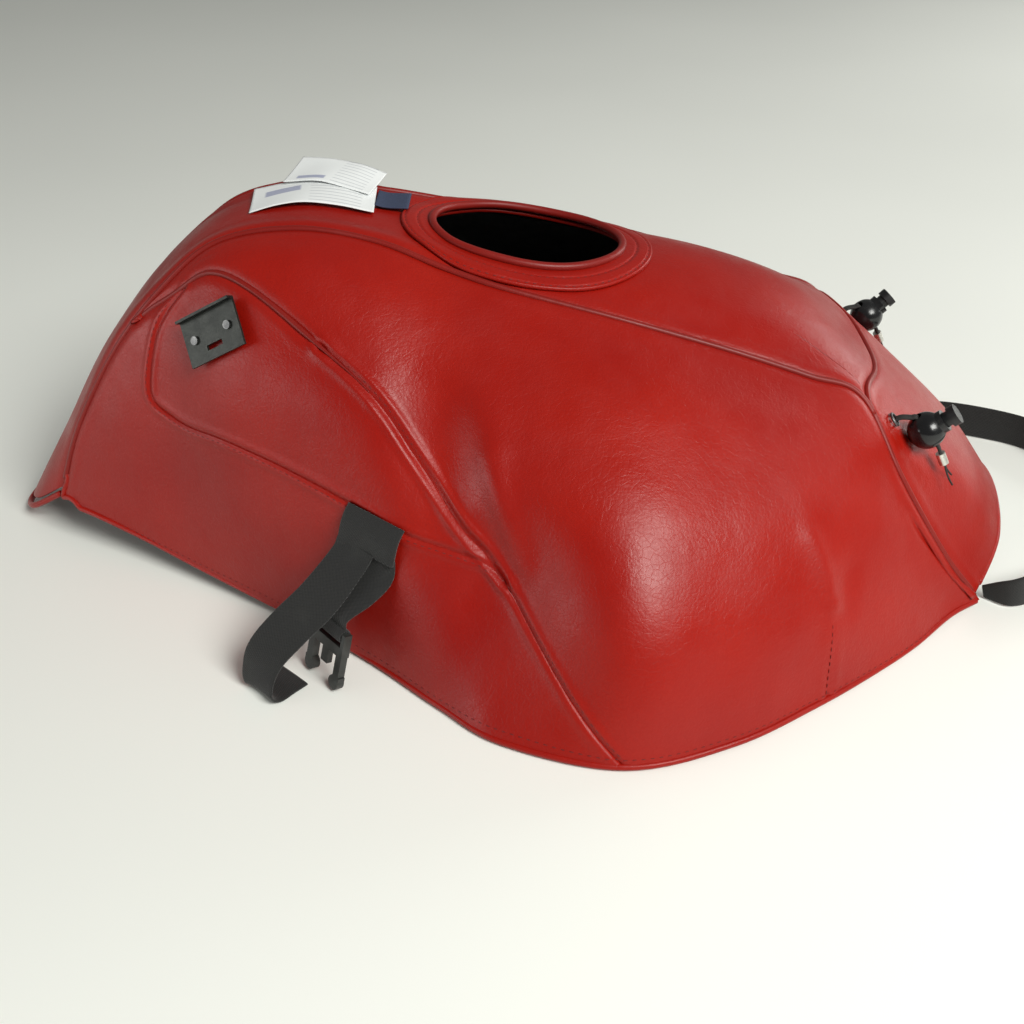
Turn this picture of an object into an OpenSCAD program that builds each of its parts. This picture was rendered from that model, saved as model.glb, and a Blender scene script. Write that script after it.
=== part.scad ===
// Sewn cover for a motorcycle fuel tank, with straps, buckles and cord locks.
// Units are mm. +X points to the front, +Y to the left side, +Z up; Z = 0 is the table.

/* [Cover] */
// Length from the tail tip to the middle of the front hem
cover_length = 652; // [544:1:783]
// Width across the widest part of the skirt
cover_width = 498; // [415:1:598]
// Height of the crown above the table
cover_height = 214; // [178:1:257]
// Thickness of the coated fabric
panel_t = 2; // [1.4:0.1:2.6]
// Diameter of the piping in the crown, neck and arch seams
piping_d = 4; // [3:0.1:4.8]
// Diameter of the rolled hem
hem_d = 4; // [3:0.1:4.8]
// Thickness of the soft lining
lining_t = 1.2; // [0.8:0.1:1.6]

/* [Filler opening] */
// Length of the opening for the filler cap
filler_l = 115; // [92:1:125]
// Width of the opening for the filler cap
filler_w = 90; // [72:1:98]
// Width of the stitched band around the opening
ring_band = 18; // [14:1:20]
// Thickness of the stitched band
ring_t = 2.4; // [1.8:0.1:3]
// Diameter of the bound lip inside the band
lip_d = 5; // [4:0.1:6]

/* [Straps] */
// Width of the webbing
webbing_w = 25; // [20:1:30]
// Thickness of the webbing
webbing_t = 1.6; // [1.2:0.1:2]
// Width of the sewn tab that holds the straps
tab_w = 38; // [31:1:46]
// Distance that the front strap loop stands out past the front hem
front_reach = 80; // [66:1:96]

/* [Buckles] */
// Diameter of the bar that the webbing turns on
bar_d = 4.4; // [3.6:0.1:5.4]
// Wall on each side of the webbing slot
buckle_wall = 3; // [2.4:0.1:3.6]
// Thickness of the buckle bodies
buckle_t = 9; // [7.5:0.1:10.8]
// Length of the prongs
prong_l = 22; // [18:1:26]

/* [Cord locks] */
// Diameter of the lock ball
lock_d = 22; // [18.5:0.1:26.4]
// Diameter of the plunger stem
plunger_d = 9; // [7.5:0.1:10]
// Travel of the plunger
plunger_travel = 3; // [2.5:0.1:3.6]
// Diameter of the elastic cord
elastic_d = 2; // [1.6:0.1:2.4]

/* [Plates and labels] */
// Length of the trim plate
plate_l = 42; // [35:1:50]
// Height of the trim plate
plate_h = 28; // [23:1:33]
// Thickness of the trim plate
plate_t = 1.5; // [1.2:0.1:1.8]
// Width of the sewn-in labels
label_w = 42; // [35:1:48]
// Length of the longer label
label_l = 86; // [72:1:92]

/* [Hidden] */
soft_gap = 0.4;          // between sewn pieces that lie side by side
ring_gap = 0.7;          // the filler ring lies this far above the centre panel
lining_gap = 2.6;        // the lining hangs this far inside the panels
run_gap = 0.3;           // between pieces that move on each other
barrel_wall = 1.8;       // webbing wrapped round a bar
centre_x = 364;          // tail-based station of the model origin at the design size
red = [0.62, 0.08, 0.05];
black = [0.08, 0.08, 0.08];
kx = cover_length / 652;
ky = cover_width / 498;
kz = (cover_height - hem_d / 2) / 212;

// Stations of the shape: seven lines from the tail to the front hem, each point
// [distance from the tail, half width, height]. Line 0 is the middle of the cover,
// line 2 the crown seam, line 6 the hem. Station 12 is the neck seam.
LINES = [
    [[-2,0,2],[36,0,64],[78,0,128],[115,0,172],[155,0,203],[205,0,213],[252,0,206],[292,0,199],
     [328,0,195],[391,0,186],[450,0,176],[505,0,156],[553,0,121],[585,0,97],[622,0,62],[648,0,28]],
    [[8,21,9],[43,19,69],[81,20,130],[118,21,173],[157,21,203],[205,21,213],[252,22,206],[292,28,198],
     [328,34,193],[391,38,183],[450,38,171],[503,39,152],[548,40,124],[578,54,95],[614,58,56],[640,56,18]],
    [[35,34,28],[57,35,80],[90,36,134],[124,38,174],[160,38,203],[206,39,212],[252,42,206],[292,54,195],
     [328,65,187],[391,71,172],[450,72,155],[500,74,139],[532,76,127],[556,101,87],[588,108,38],[612,107,8]],
    [[35,35,27],[58,40,66],[91,49,108],[126,56,148],[161,60,191],[206,72,200],[252,84,189],[292,103,167],
     [328,118,157],[391,132,149],[450,124,134],[500,116,117],[534,108,103],[559,114,68],[590,112,29],[613,107,7]],
    [[36,36,26],[59,44,52],[94,58,78],[129,70,108],[164,88,140],[206,106,150],[252,128,142],[292,146,112],
     [328,160,122],[391,187,112],[450,172,100],[500,152,86],[536,134,74],[562,127,46],[592,115,20],[614,107,6]],
    [[36,37,25],[60,48,38],[96,65,48],[132,81,60],[167,102,75],[206,124,80],[252,152,75],[292,180,58],
     [328,183,70],[391,228,62],[450,210,54],[500,182,46],[537,156,38],[565,138,24],[593,118,11],[615,107,5]],
    [[36,38,24],[60,51,24],[98,70,18],[134,90,12],[168,110,8],[206,134,5],[252,168,2],[292,204,2],
     [328,232,2],[391,249,2],[450,231,2],[500,200,2],[538,172,2],[567,148,2],[595,121,3],[616,107,4]]];

// Seams as [station, line] pairs on that shape.
KNEE_ARCH = [[3.87,2.9],[3.98,2.98],[4.1,2.97],[4.4,3.15],[4.7,3.3],[5,3.45],[5.5,3.65],[6.05,3.8],
             [6.45,3.9],[7,4.1],[7.6,4.6]];
KNEE_LOW = [[3.45,2.69],[3.05,2.65],[2.8,2.95],[2.65,3.45],[2.85,3.85],[3.4,4.3],[4.3,4.6],[5.4,4.75],
            [6.2,4.75],[7,4.55],[7.6,4.75]];
REAR_IN = [[2.84,2.3],[3.06,2.46],[3.2,2.6],[3.0,2.66],[2.8,2.95],[2.65,3.45],[2.85,3.85],[3.4,4.3],
           [4.3,4.6],[5.4,4.75],[6.2,4.75],[7,4.55],[7.6,4.75],[8.02,4.99]];
REAR_OUT = [[2.2,2],[1.9,2],[1.4,2],[0.9,2.05],[0.45,2.3],[0.12,4],[0.7,5.75],[2.2,6],
            [3.6,6],[5,6],[6.2,6],[7.2,6],[8.1,6],[8.95,6]];
SIDE_TOP = [[3.1,2],[3.6,2],[4.3,2],[5,2],[5.5,2],[6.05,2],[6.45,2],[7,2],[7.6,2],
            [8.1,2],[8.6,2],[9.1,2],[10,2],[11,2],[12,2],[13,2],[14,2],[14.7,2]];
SIDE_LOW = [[3.15,2.4],[3.65,2.7],[4.4,3.15],[5,3.45],[5.5,3.65],[6.05,3.8],[6.45,3.9],[7,4.1],[7.6,4.6],
            [8.03,4.97],[8.42,5.38],[8.9,5.94],[10,6],[11,6],[12,6],[13,6],[14,6],[14.7,6]];
ARCH_SEAM = [[2.5,2.1],[3,2.3],[3.65,2.7],[4.4,3.15],[5,3.45],[5.5,3.65],[6.05,3.8],[6.45,3.9],
             [7,4.1],[7.6,4.6],[7.95,4.93]];
NECK_SEAM = [[14.8,2],[14,2],[13.2,2],[12.5,2],[12.15,1.85],[12,1.4],[12,0.7],[12,0]];

// ---- smooth curves and the shape they carry ----
function cr(a, b, c, d, f) =
    b + 0.5 * f * (c - a + f * (2 * a - 5 * b + 4 * c - d + f * (3 * (b - c) + d - a)));
function along(P, t) =
    let (n = len(P) - 1, i = max(0, min(floor(t), n - 1)))
    cr(i > 0 ? P[i - 1] : 2 * P[0] - P[1], P[i], P[i + 1],
       i < n - 1 ? P[i + 2] : 2 * P[n] - P[n - 1], t - i);
function chord(P, t) = let (n = len(P) - 1, i = max(0, min(floor(t), n - 1)))
    P[i] + (t - i) * (P[i + 1] - P[i]);
function flip(p) = [p[0], -p[1], p[2]];
function half(u, v) =
    let (i = min(floor(v), 5), b = along(LINES[i], u), c = along(LINES[i + 1], u))
    cr(i > 0 ? along(LINES[i - 1], u) : flip(along(LINES[1], u)), b, c,
       i < 5 ? along(LINES[i + 2], u) : 2 * c - b, v - i);
function sized(p) = [(p[0] - centre_x) * kx, p[1] * ky, hem_d / 2 + (p[2] - 2) * kz];
function at(u, v) = v < 0 ? flip(sized(half(u, -v))) : sized(half(u, v));
function unit(p) = p / max(norm(p), 1e-9);
function out(u, v) =
    let (e = 0.04, a = max(0, u - e), b = min(15, u + e), c = max(-6, v - e), d = min(6, v + e))
    unit(cross(at(b, v) - at(a, v), at(u, d) - at(u, c)));
function skin(q, d) = at(q[0], q[1]) + d * out(q[0], q[1]);
// the [station, line] pair above a point of the plan, found by stepping towards it
function find(x, y, q, k = 6) =
    k == 0 ? q :
    let (e = 0.02, p = at(q[0], q[1]), a = (at(q[0] + e, q[1]) - p) / e, b = (at(q[0], q[1] + e) - p) / e,
         D = a[0] * b[1] - a[1] * b[0], s = x - p[0], t = y - p[1])
    find(x, y, [q[0] + (s * b[1] - t * b[0]) / D, q[1] + (t * a[0] - s * a[1]) / D], k - 1);

// ---- closed solids from rows of points ----
// a slab between two grids of the same size, each [rows][columns]
module slab(A, B) {
    n = len(A); m = len(A[0]);
    pts = [for (r = A) for (p = r) p, for (r = B) for (p = r) p];
    k = n * m;
    function id(i, j) = i * m + j;
    polyhedron(pts, [
        for (i = [0:n - 2]) for (j = [0:m - 2]) each [
            [id(i, j), id(i + 1, j + 1), id(i + 1, j)], [id(i, j), id(i, j + 1), id(i + 1, j + 1)],
            [k + id(i, j), k + id(i + 1, j), k + id(i + 1, j + 1)],
            [k + id(i, j), k + id(i + 1, j + 1), k + id(i, j + 1)]],
        for (i = [0:n - 2]) each [
            [id(i, 0), id(i + 1, 0), k + id(i + 1, 0)], [id(i, 0), k + id(i + 1, 0), k + id(i, 0)],
            [id(i, m - 1), k + id(i + 1, m - 1), id(i + 1, m - 1)],
            [id(i, m - 1), k + id(i, m - 1), k + id(i + 1, m - 1)]],
        for (j = [0:m - 2]) each [
            [id(0, j), k + id(0, j + 1), id(0, j + 1)], [id(0, j), k + id(0, j), k + id(0, j + 1)],
            [id(n - 1, j), id(n - 1, j + 1), k + id(n - 1, j + 1)],
            [id(n - 1, j), k + id(n - 1, j + 1), k + id(n - 1, j)]]]);
}
// a closed band between two loops of grids, [rows around][columns across]
module loop_slab(A, B) {
    n = len(A); m = len(A[0]); k = n * m;
    function id(i, j) = (i % n) * m + j;
    polyhedron([for (r = A) for (p = r) p, for (r = B) for (p = r) p], [
        for (i = [0:n - 1]) for (j = [0:m - 2]) each [
            [id(i, j), id(i + 1, j + 1), id(i + 1, j)], [id(i, j), id(i, j + 1), id(i + 1, j + 1)],
            [k + id(i, j), k + id(i + 1, j), k + id(i + 1, j + 1)],
            [k + id(i, j), k + id(i + 1, j + 1), k + id(i, j + 1)]],
        for (i = [0:n - 1]) each [
            [id(i, 0), id(i + 1, 0), k + id(i + 1, 0)], [id(i, 0), k + id(i + 1, 0), k + id(i, 0)],
            [id(i, m - 1), k + id(i + 1, m - 1), id(i + 1, m - 1)],
            [id(i, m - 1), k + id(i, m - 1), k + id(i + 1, m - 1)]]]);
}
// a round tube along points, with N the direction that stays up
module tube(P, N, r, sides = 8, closed = false) {
    n = len(P);
    function dir(i) = closed ? P[(i + 1) % n] - P[(i + n - 1) % n]
                             : P[min(i + 1, n - 1)] - P[max(i - 1, 0)];
    pts = [for (i = [0:n - 1]) let (t = unit(dir(i)), b = unit(cross(t, N[i])), c = cross(b, t))
           for (j = [0:sides - 1]) P[i] + r * (cos(360 * j / sides) * c + sin(360 * j / sides) * b)];
    function id(i, j) = (i % n) * sides + (j % sides);
    polyhedron(pts, [
        for (i = [0:(closed ? n - 1 : n - 2)]) for (j = [0:sides - 1]) each [
            [id(i, j), id(i + 1, j), id(i + 1, j + 1)], [id(i, j), id(i + 1, j + 1), id(i, j + 1)]],
        if (!closed) for (j = [1:sides - 2]) [0, j, j + 1],
        if (!closed) for (j = [1:sides - 2]) [id(n - 1, 0), id(n - 1, j + 1), id(n - 1, j)]]);
}
// a panel between two seams given by matching key pairs; in_a and in_b pull it off each seam
module panel(A, B, s0, s1, n, m, in_a, in_b, d0, d1) {
    // share of the way from one seam to the other that lies the given distance off the first
    function share(P, s, a, b, gap) =
        let (e = 0.05, q = a + e * (b - a), D = at(q[0], q[1]) - at(a[0], a[1]),
             g = along(P, min(len(P) - 1, s + e)), h = along(P, max(0, s - e)),
             T = unit(at(g[0], g[1]) - at(h[0], h[1])))
        min(0.44, e * gap / max(norm(cross(D, T)), 0.001));
    function q(i, j) =
        let (s = s0 + (s1 - s0) * i / n, a = along(A, s), b = along(B, s),
             fa = share(A, s, a, b, in_a), fb = share(B, s, b, a, in_b), f = fa + (1 - fa - fb) * j / m)
        a + f * (b - a);
    slab([for (i = [0:n]) [for (j = [0:m]) skin(q(i, j), d1)]],
         [for (i = [0:n]) [for (j = [0:m]) skin(q(i, j), d0)]]);
}
// a strip of webbing: each section is [centre, direction of its width]
module strip(S, n, w, t) {
    c = [for (s = S) s[0]]; g = [for (s = S) unit(s[1])];
    N = len(S) - 1;
    function sec(i) =
        let (s = N * i / n, p = along(c, s), u = unit(along(g, s)),
             f = along(c, min(N, s + 0.05)) - along(c, max(0, s - 0.05)), h = unit(cross(unit(f), u)),
             e = unit(cross(h, unit(f))))
        [p, e, h];
    slab([for (i = [0:n]) let (k = sec(i)) [k[0] - k[1] * w / 2 + k[2] * t / 2, k[0] + k[1] * w / 2 + k[2] * t / 2]],
         [for (i = [0:n]) let (k = sec(i)) [k[0] - k[1] * w / 2 - k[2] * t / 2, k[0] + k[1] * w / 2 - k[2] * t / 2]]);
}
module right() { mirror([0, 1, 0]) children(); }

// ---- sewn panels (built on the left; the right side is their mirror image) ----
seam = piping_d / 2 + soft_gap;
flat_seam = soft_gap / 2;
hem_in = hem_d / 2 + soft_gap;
half_t = panel_t / 2;
front_x = at(15, 0)[0];

module side_panel() color(red)
    panel(SIDE_TOP, SIDE_LOW, 0, 16.9, 34, 9, seam + 0.6, seam + 0.9, -half_t, half_t);
module knee_panel() color(red)
    panel(KNEE_ARCH, KNEE_LOW, 0, 10, 20, 6, seam + 0.9, flat_seam, -half_t, half_t);
module rear_skirt() color(red)
    panel(REAR_IN, REAR_OUT, 0, 12.9, 32, 6, seam, seam + 0.9, -half_t, half_t);
module front_panel() color(red)
    slab([for (i = [0:9]) [for (j = [-8:8]) skin(front_q(i, j), half_t)]],
         [for (i = [0:9]) [for (j = [-8:8]) skin(front_q(i, j), -half_t)]]);
function front_q(i, j) =
    let (c = lookup(abs(j) / 8, [[0, 12.07], [0.66, 12.08], [0.82, 12.18], [0.92, 12.42], [1, 12.86]]),
         u = c + (14.92 - c) * i / 9)
    [u, seam_v(u) * j / 8];

// centre panel: rings that grow from the filler opening to the seams around it
hole_x = (338 - centre_x) * kx;
hole_l = filler_l / 2 + 2;
hole_w = filler_w / 2 + 2;
rings = 12;
rim = 64;
tail_cut = 0.12;
function seam_v(u) = 2 - 0.07 * seam / norm(at(u, 2) - at(u, 1.95));
function edge_q(k) =
    k <= 5 ? [11.88, seam_v(11.88) * k / 5] :
    k <= 28 ? let (u = 11.88 - (11.88 - tail_cut) * (k - 5) / 23) [u, seam_v(u)] :
    k <= 32 ? [tail_cut, seam_v(tail_cut) * (32 - k) / 4] :
    let (q = edge_q(rim - k)) [q[0], -q[1]];
function hole_q(k) =
    let (e = edge_q(k), c = [8.13, 0], a = atan2((e[1] - c[1]) * 32, (e[0] - c[0]) * 48),
         y = hole_w * sin(a), q = find(hole_x + hole_l * cos(a), abs(y), [8, 1]))
    [q[0], y < 0 ? -q[1] : q[1]];
module centre_panel() color(red) {
    H = [for (k = [0:rim - 1]) hole_q(k)];
    E = [for (k = [0:rim - 1]) edge_q(k)];
    Q = [for (k = [0:rim - 1]) [for (i = [rings:-1:0]) H[k] + (E[k] - H[k]) * pow(i / rings, 1.1)]];
    loop_slab([for (r = Q) [for (q = r) skin(q, half_t)]], [for (r = Q) [for (q = r) skin(q, -half_t)]]);
}
// a point over the centre panel, at plan angle a on an ellipse of half sizes l and w, raised by d
function over(a, l, w, d) =
    let (y = w * sin(a), q = find(hole_x + l * cos(a), abs(y), [8, 1]), p = skin(q, d))
    y < 0 ? flip(p) : p;
module filler_ring() color(red)
    loop_slab([for (k = [0:47]) [for (i = [2:-1:0]) let (g = lip_d / 2 + soft_gap + i * (ring_band - lip_d) / 2)
                  over(k * 7.5, filler_l / 2 + g, filler_w / 2 + g, half_t + ring_gap + ring_t)]],
              [for (k = [0:47]) [for (i = [2:-1:0]) let (g = lip_d / 2 + soft_gap + i * (ring_band - lip_d) / 2)
                  over(k * 7.5, filler_l / 2 + g, filler_w / 2 + g, half_t + ring_gap)]]);
module filler_lip() color([0.5, 0.06, 0.04])
    tube([for (k = [0:47]) over(-k * 7.5, filler_l / 2 - 0.5, filler_w / 2 - 0.5, half_t + lip_d / 2 + soft_gap)],
         [for (k = [0:47]) [0, 0, 1]], lip_d / 2, 10, true);

// ---- lining ----
lin_1 = -half_t - lining_gap;
lin_0 = lin_1 - lining_t;
module side_lining() color([0.12, 0.12, 0.13])
    panel([for (u = [1.4:1:14.4]) [u, 2]], [for (u = [1.4:1:14.4]) [u, 6]], 0, 12.1, 26, 9,
          seam + 3, hem_d + 4, lin_0, lin_1);
module rear_lining() color([0.12, 0.12, 0.13])
    panel([for (u = [0.2:1:6.2]) [u, -2]], [for (u = [0.2:1:6.2]) [u, 2]], 0, 5.7, 16, 5,
          seam + 3, seam + 3, lin_0, lin_1);
module front_lining() color([0.12, 0.12, 0.13])
    panel([for (u = [9.8:1:14.8]) [u, -2]], [for (u = [9.8:1:14.8]) [u, 2]], 0, 4.8, 12, 6,
          seam + 3, seam + 3, lin_0, lin_1);

// ---- piping and hems ----
module bead(Q, n, r, s0 = 0, s1 = -1, lift = 0, sides = 8) {
    e = s1 < 0 ? len(Q) - 1 : s1;
    P = [for (i = [0:n]) along(Q, s0 + (e - s0) * i / n)];
    tube([for (q = P) skin(q, lift)], [for (q = P) out(q[0], q[1])], r, sides);
}
module crown_piping() color([0.42, 0.04, 0.03])
    bead([for (u = [0.25:0.5:11.75]) [u, 2]], 30, piping_d / 2, 0, -1, 0, 6);
module neck_piping() color([0.42, 0.04, 0.03]) {
    L = len(NECK_SEAM) - 1;
    P = [for (i = [0:16]) along(NECK_SEAM, L * i / 16)];
    Q = [for (i = [15:-1:0]) let (q = P[i]) [q[0], -q[1]]];
    R = concat(P, Q);
    tube([for (q = R) skin(q, 0)], [for (q = R) out(q[0], q[1])], piping_d / 2, 6);
}
module arch_piping() color([0.42, 0.04, 0.03]) bead(ARCH_SEAM, 20, piping_d / 2, piping_d / 5 - 0.38, -1, 0, 6);
module side_hem() color(red) bead([for (u = [0.3:0.5:14.8]) [u, 6]], 36, hem_d / 2, 0, 28.6, 0, 6);
module front_hem() color(red)
    bead([for (v = [-1.7:0.34:1.7]) [15, v]], 20, hem_d / 2, 0, -1, 0);
module tail_hem() color(red)
    bead([for (v = [-1.6:0.4:1.6]) [0, v]], 12, hem_d / 2, 0, -1, 0);

// ---- trim plate: folded sheet metal held by two rivets ----
plate_q = [4.06, 3.58];
plate_p = at(plate_q[0], plate_q[1]);
plate_n = out(plate_q[0], plate_q[1]);
plate_turn = atan2(plate_n[0], plate_n[1]);
plate_lean = asin(plate_n[2]);
rivet_d = 5;
rivet_x = plate_l / 2 - 8;
plate_lift = half_t + 3;
// local frame of the plate: X along it, Y out of the cover, Z up
module on_plate() translate(plate_p) rotate([0, 0, -plate_turn]) rotate([plate_lean, 0, 0])
    rotate([0, -34, 0]) translate([0, plate_lift, 0]) children();
module trim_plate() color([0.22, 0.23, 0.22]) on_plate() {
    difference() {
        union() {
            translate([-plate_l / 2, 0, -plate_h / 2]) cube([plate_l, plate_t, plate_h]);
            // folded top edge
            translate([-plate_l / 2, 0, plate_h / 2 - plate_t]) cube([plate_l, 5, plate_t]);
        }
        for (s = [-1, 1]) translate([s * rivet_x, -1, 0])
            rotate([-90, 0, 0]) cylinder(d = rivet_d - 1.6 + 2 * run_gap, h = 8, $fn = 32);
        // plain lightening slot
        translate([-6, -1, -plate_h / 4 - 1.5]) cube([12, 8, 3]);
    }
}
module trim_rivets_one() on_plate() for (s = [-1, 1]) translate([s * rivet_x, 0, 0]) rotate([-90, 0, 0]) {
    translate([0, 0, plate_t + run_gap]) cylinder(d = rivet_d, h = 1, $fn = 32);
    translate([0, 0, -1.6]) cylinder(d = rivet_d - 1.6, h = plate_t + 2.2, $fn = 32);
}
module trim_rivets() color([0.3, 0.3, 0.3]) { trim_rivets_one(); right() trim_rivets_one(); }

// ---- side straps (left side; the tab is sewn below the knee panel) ----
tab_q = [6.08, 4.9];
tab_p = skin(tab_q, half_t + soft_gap);
tab_n = out(tab_q[0], tab_q[1]);
tab_dir = unit(at(6.5, 4.78) - at(5.7, 4.9));
tab_down = unit(cross(tab_n, tab_dir));
tab_t = 3.4;
module strap_tab() color(black) {
    c = tab_p + tab_n * (tab_t / 2 + 1.6);
    slab([for (i = [0:6]) [for (j = [0:1]) c + tab_dir * tab_w * (i / 6 - 0.5) + tab_down * 18 * (j - 0.5) + tab_n * tab_t / 2]],
         [for (i = [0:6]) [for (j = [0:1]) c + tab_dir * tab_w * (i / 6 - 0.5) + tab_down * 18 * (j - 0.5) - tab_n * tab_t / 2]]);
}
tab_low = tab_p + tab_n * (tab_t / 2 + 1.6) + tab_down * (9 + soft_gap + 2.2);
// chosen points of the hanging strap: offsets along X and Y from the middle of the tab's lower
// edge, the share of its height, and the direction of the width
TAIL = [[[-25, 14, 0.72], [26, 8, -6]], [[-41, 23, 0.53], [27, 8, -5]], [[-54, 29, 0.34], [27, 12, -2]],
        [[-59, 33, 0.18], [25, 18, 0]], [[-59, 36.5, 0.06], [22, 19.5, 0]], [[-55.5, 34.6, 0], [22, 19.5, 0]],
        [[-49, 27.3, 0], [22, 19.5, 0]], [[-43, 20.5, 0], [22, 19.5, 0]]];
low_z = webbing_t / 2 + 0.3;
function hung(p) = [tab_low[0] + p[0], tab_low[1] + p[1], low_z + (tab_low[2] - low_z) * p[2]];
module tail_webbing() color(black) {
    p = tab_low - tab_dir * (tab_w - webbing_w) / 2 + tab_n * (webbing_t + soft_gap) / 2;
    strip(concat([[p, tab_dir], [p + tab_down * 5 + tab_n * 1.5 + [-1.2, 0.4, 0], tab_dir]], [for (s = TAIL) [hung(s[0]), s[1]]]),
          30, webbing_w, webbing_t);
}

// ---- buckles ----
bar_r = bar_d / 2;
barrel_r = bar_r + run_gap + barrel_wall;
frame_w = webbing_w + 2 * run_gap + 2 * buckle_wall;
slot_h = barrel_wall + 2 * run_gap + 1.6;
bar_z = prong_l + 6 + slot_h + bar_r;
buckle_tip = [tab_low[0] - 26, tab_low[1] + 23, 0.6];
buckle_turn = 48;
buckle_lean = 16;
// local frame of a buckle: X along the bar, Z up to the bar, with the open end at the bottom
module on_buckle() translate(buckle_tip) rotate([0, 0, buckle_turn]) rotate([buckle_lean, 0, 0]) children();
function turned(p) =
    let (a = buckle_lean, b = buckle_turn, y = p[1] * cos(a) - p[2] * sin(a), z = p[1] * sin(a) + p[2] * cos(a))
    [p[0] * cos(b) - y * sin(b), p[0] * sin(b) + y * cos(b), z];
bar_p = buckle_tip + turned([0, 0, bar_z]);
bar_dir = turned([1, 0, 0]);

module buckle_webbing() color(black) {
    p = tab_low + tab_dir * (tab_w - webbing_w) / 2 - tab_n * (webbing_t + soft_gap) / 2;
    e = bar_p + turned([0, 0, barrel_r - barrel_wall / 2]);
    up = turned([0, 0, 1]);
    strip([[p, tab_dir], [p + tab_down * 8 + [1, 1, 0], tab_dir], [(p + e) / 2 + [3, 0, 0], tab_dir + bar_dir],
           [e + up * 6, bar_dir], [e, bar_dir]], 18, webbing_w, webbing_t);
    on_buckle() translate([0, 0, bar_z]) rotate([0, 90, 0]) difference() {
        cylinder(r = barrel_r, h = webbing_w, center = true, $fn = 32);
        cylinder(r = bar_r + run_gap, h = webbing_w + 2, center = true, $fn = 32);
    }
}
module bar_frame() {
    // side walls, cross wall and the round bar
    for (s = [-1, 1]) translate([s * (frame_w - buckle_wall) / 2 - buckle_wall / 2, -2.6, prong_l])
        cube([buckle_wall, 5.2, bar_z - prong_l + bar_r]);
    translate([-frame_w / 2, -2.6, prong_l]) cube([frame_w, 5.2, 6]);
    translate([-frame_w / 2 + 0.5, 0, bar_z]) rotate([0, 90, 0]) cylinder(r = bar_r, h = frame_w - 1, $fn = 32);
}
module prong_buckle() color([0.16, 0.17, 0.16]) on_buckle() {
    bar_frame();
    for (s = [-1, 1]) {
        translate([s * (frame_w / 2 - 3) - 2.5, -2.3, 5]) cube([5, 4.6, prong_l - 4]);
        // barb with a rounded nose
        translate([s * (frame_w / 2 - 4), 2.3, 5]) rotate([90, 0, 0]) cylinder(r = 4.4, h = 4.6, $fn = 32);
        translate([s * (frame_w / 2 - 3) - 3.2, -2.3, 4]) cube([6.4, 4.6, 5]);
    }
    translate([-3, -1.8, 12]) cube([6, 3.6, prong_l - 11]);
}
module socket_buckle() color([0.16, 0.17, 0.16]) on_buckle() {
    bar_frame();
    difference() {
        translate([-frame_w / 2, -buckle_t / 2, 0.5]) cube([frame_w, buckle_t, prong_l + 1]);
        // cavity for the prongs, open at the bottom, with a release window on each side
        translate([-frame_w / 2 + 2, -2.8, -1]) cube([frame_w - 4, 5.6, prong_l - 0.5]);
        for (s = [-1, 1]) translate([s * frame_w / 2 - 3, -2.8, 6]) cube([6, 5.6, 11]);
    }
}

// ---- front strap: a loop of webbing standing on its edge ----
front_z = webbing_w / 2 + 0.3;
corner = at(14.9, 4);
module front_webbing() color(black) {
    x0 = corner[0] + 9; y0 = corner[1];
    x1 = front_x + front_reach;
    xs = x1 - webbing_t / 2;
    h = [[x0, y0 - 8], [x0 + 14, y0 + 1], [x0 + 34, y0 - 5], [x1 - 30, y0 - 24], [x1 - 9, y0 - 50],
         [xs, 34], [xs, 16]];
    c = concat(h, [[xs, 0]], [for (i = [len(h) - 1:-1:0]) [h[i][0], -h[i][1]]]);
    strip([for (p = c) [[p[0], p[1], front_z], [0, 0, 1]]], 44, webbing_w, webbing_t);
}
module front_slider() color([0.16, 0.17, 0.16])
    translate([front_x + front_reach - webbing_t / 2, 0, front_z]) difference() {
        translate([-2.8 - webbing_t / 2, -15, -webbing_w / 2 - 0.2]) cube([5.6 + webbing_t, 30, webbing_w + 6]);
        translate([-webbing_t / 2 - 0.9, -16, -webbing_w / 2 - 1]) cube([webbing_t + 1.8, 32, webbing_w + 3]);
        for (s = [-1, 1]) translate([-10, s * 7 - 4, -webbing_w / 2 + 2.5]) cube([20, 8, webbing_w - 4]);
    }

// ---- cord locks on the front panel ----
lock_q = [12.86, 1.42];
lock_base = skin(lock_q, half_t);
lock_n = out(lock_q[0], lock_q[1]);
ball_r = lock_d / 2;
lock_tilt = acos(lock_n[2]);
lock_turn = atan2(lock_n[1], lock_n[0]) * 0.4;
cord_bore = 2 * elastic_d + 2.2;
stem_r = plunger_d / 2;
button_h = 4.6;
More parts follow.
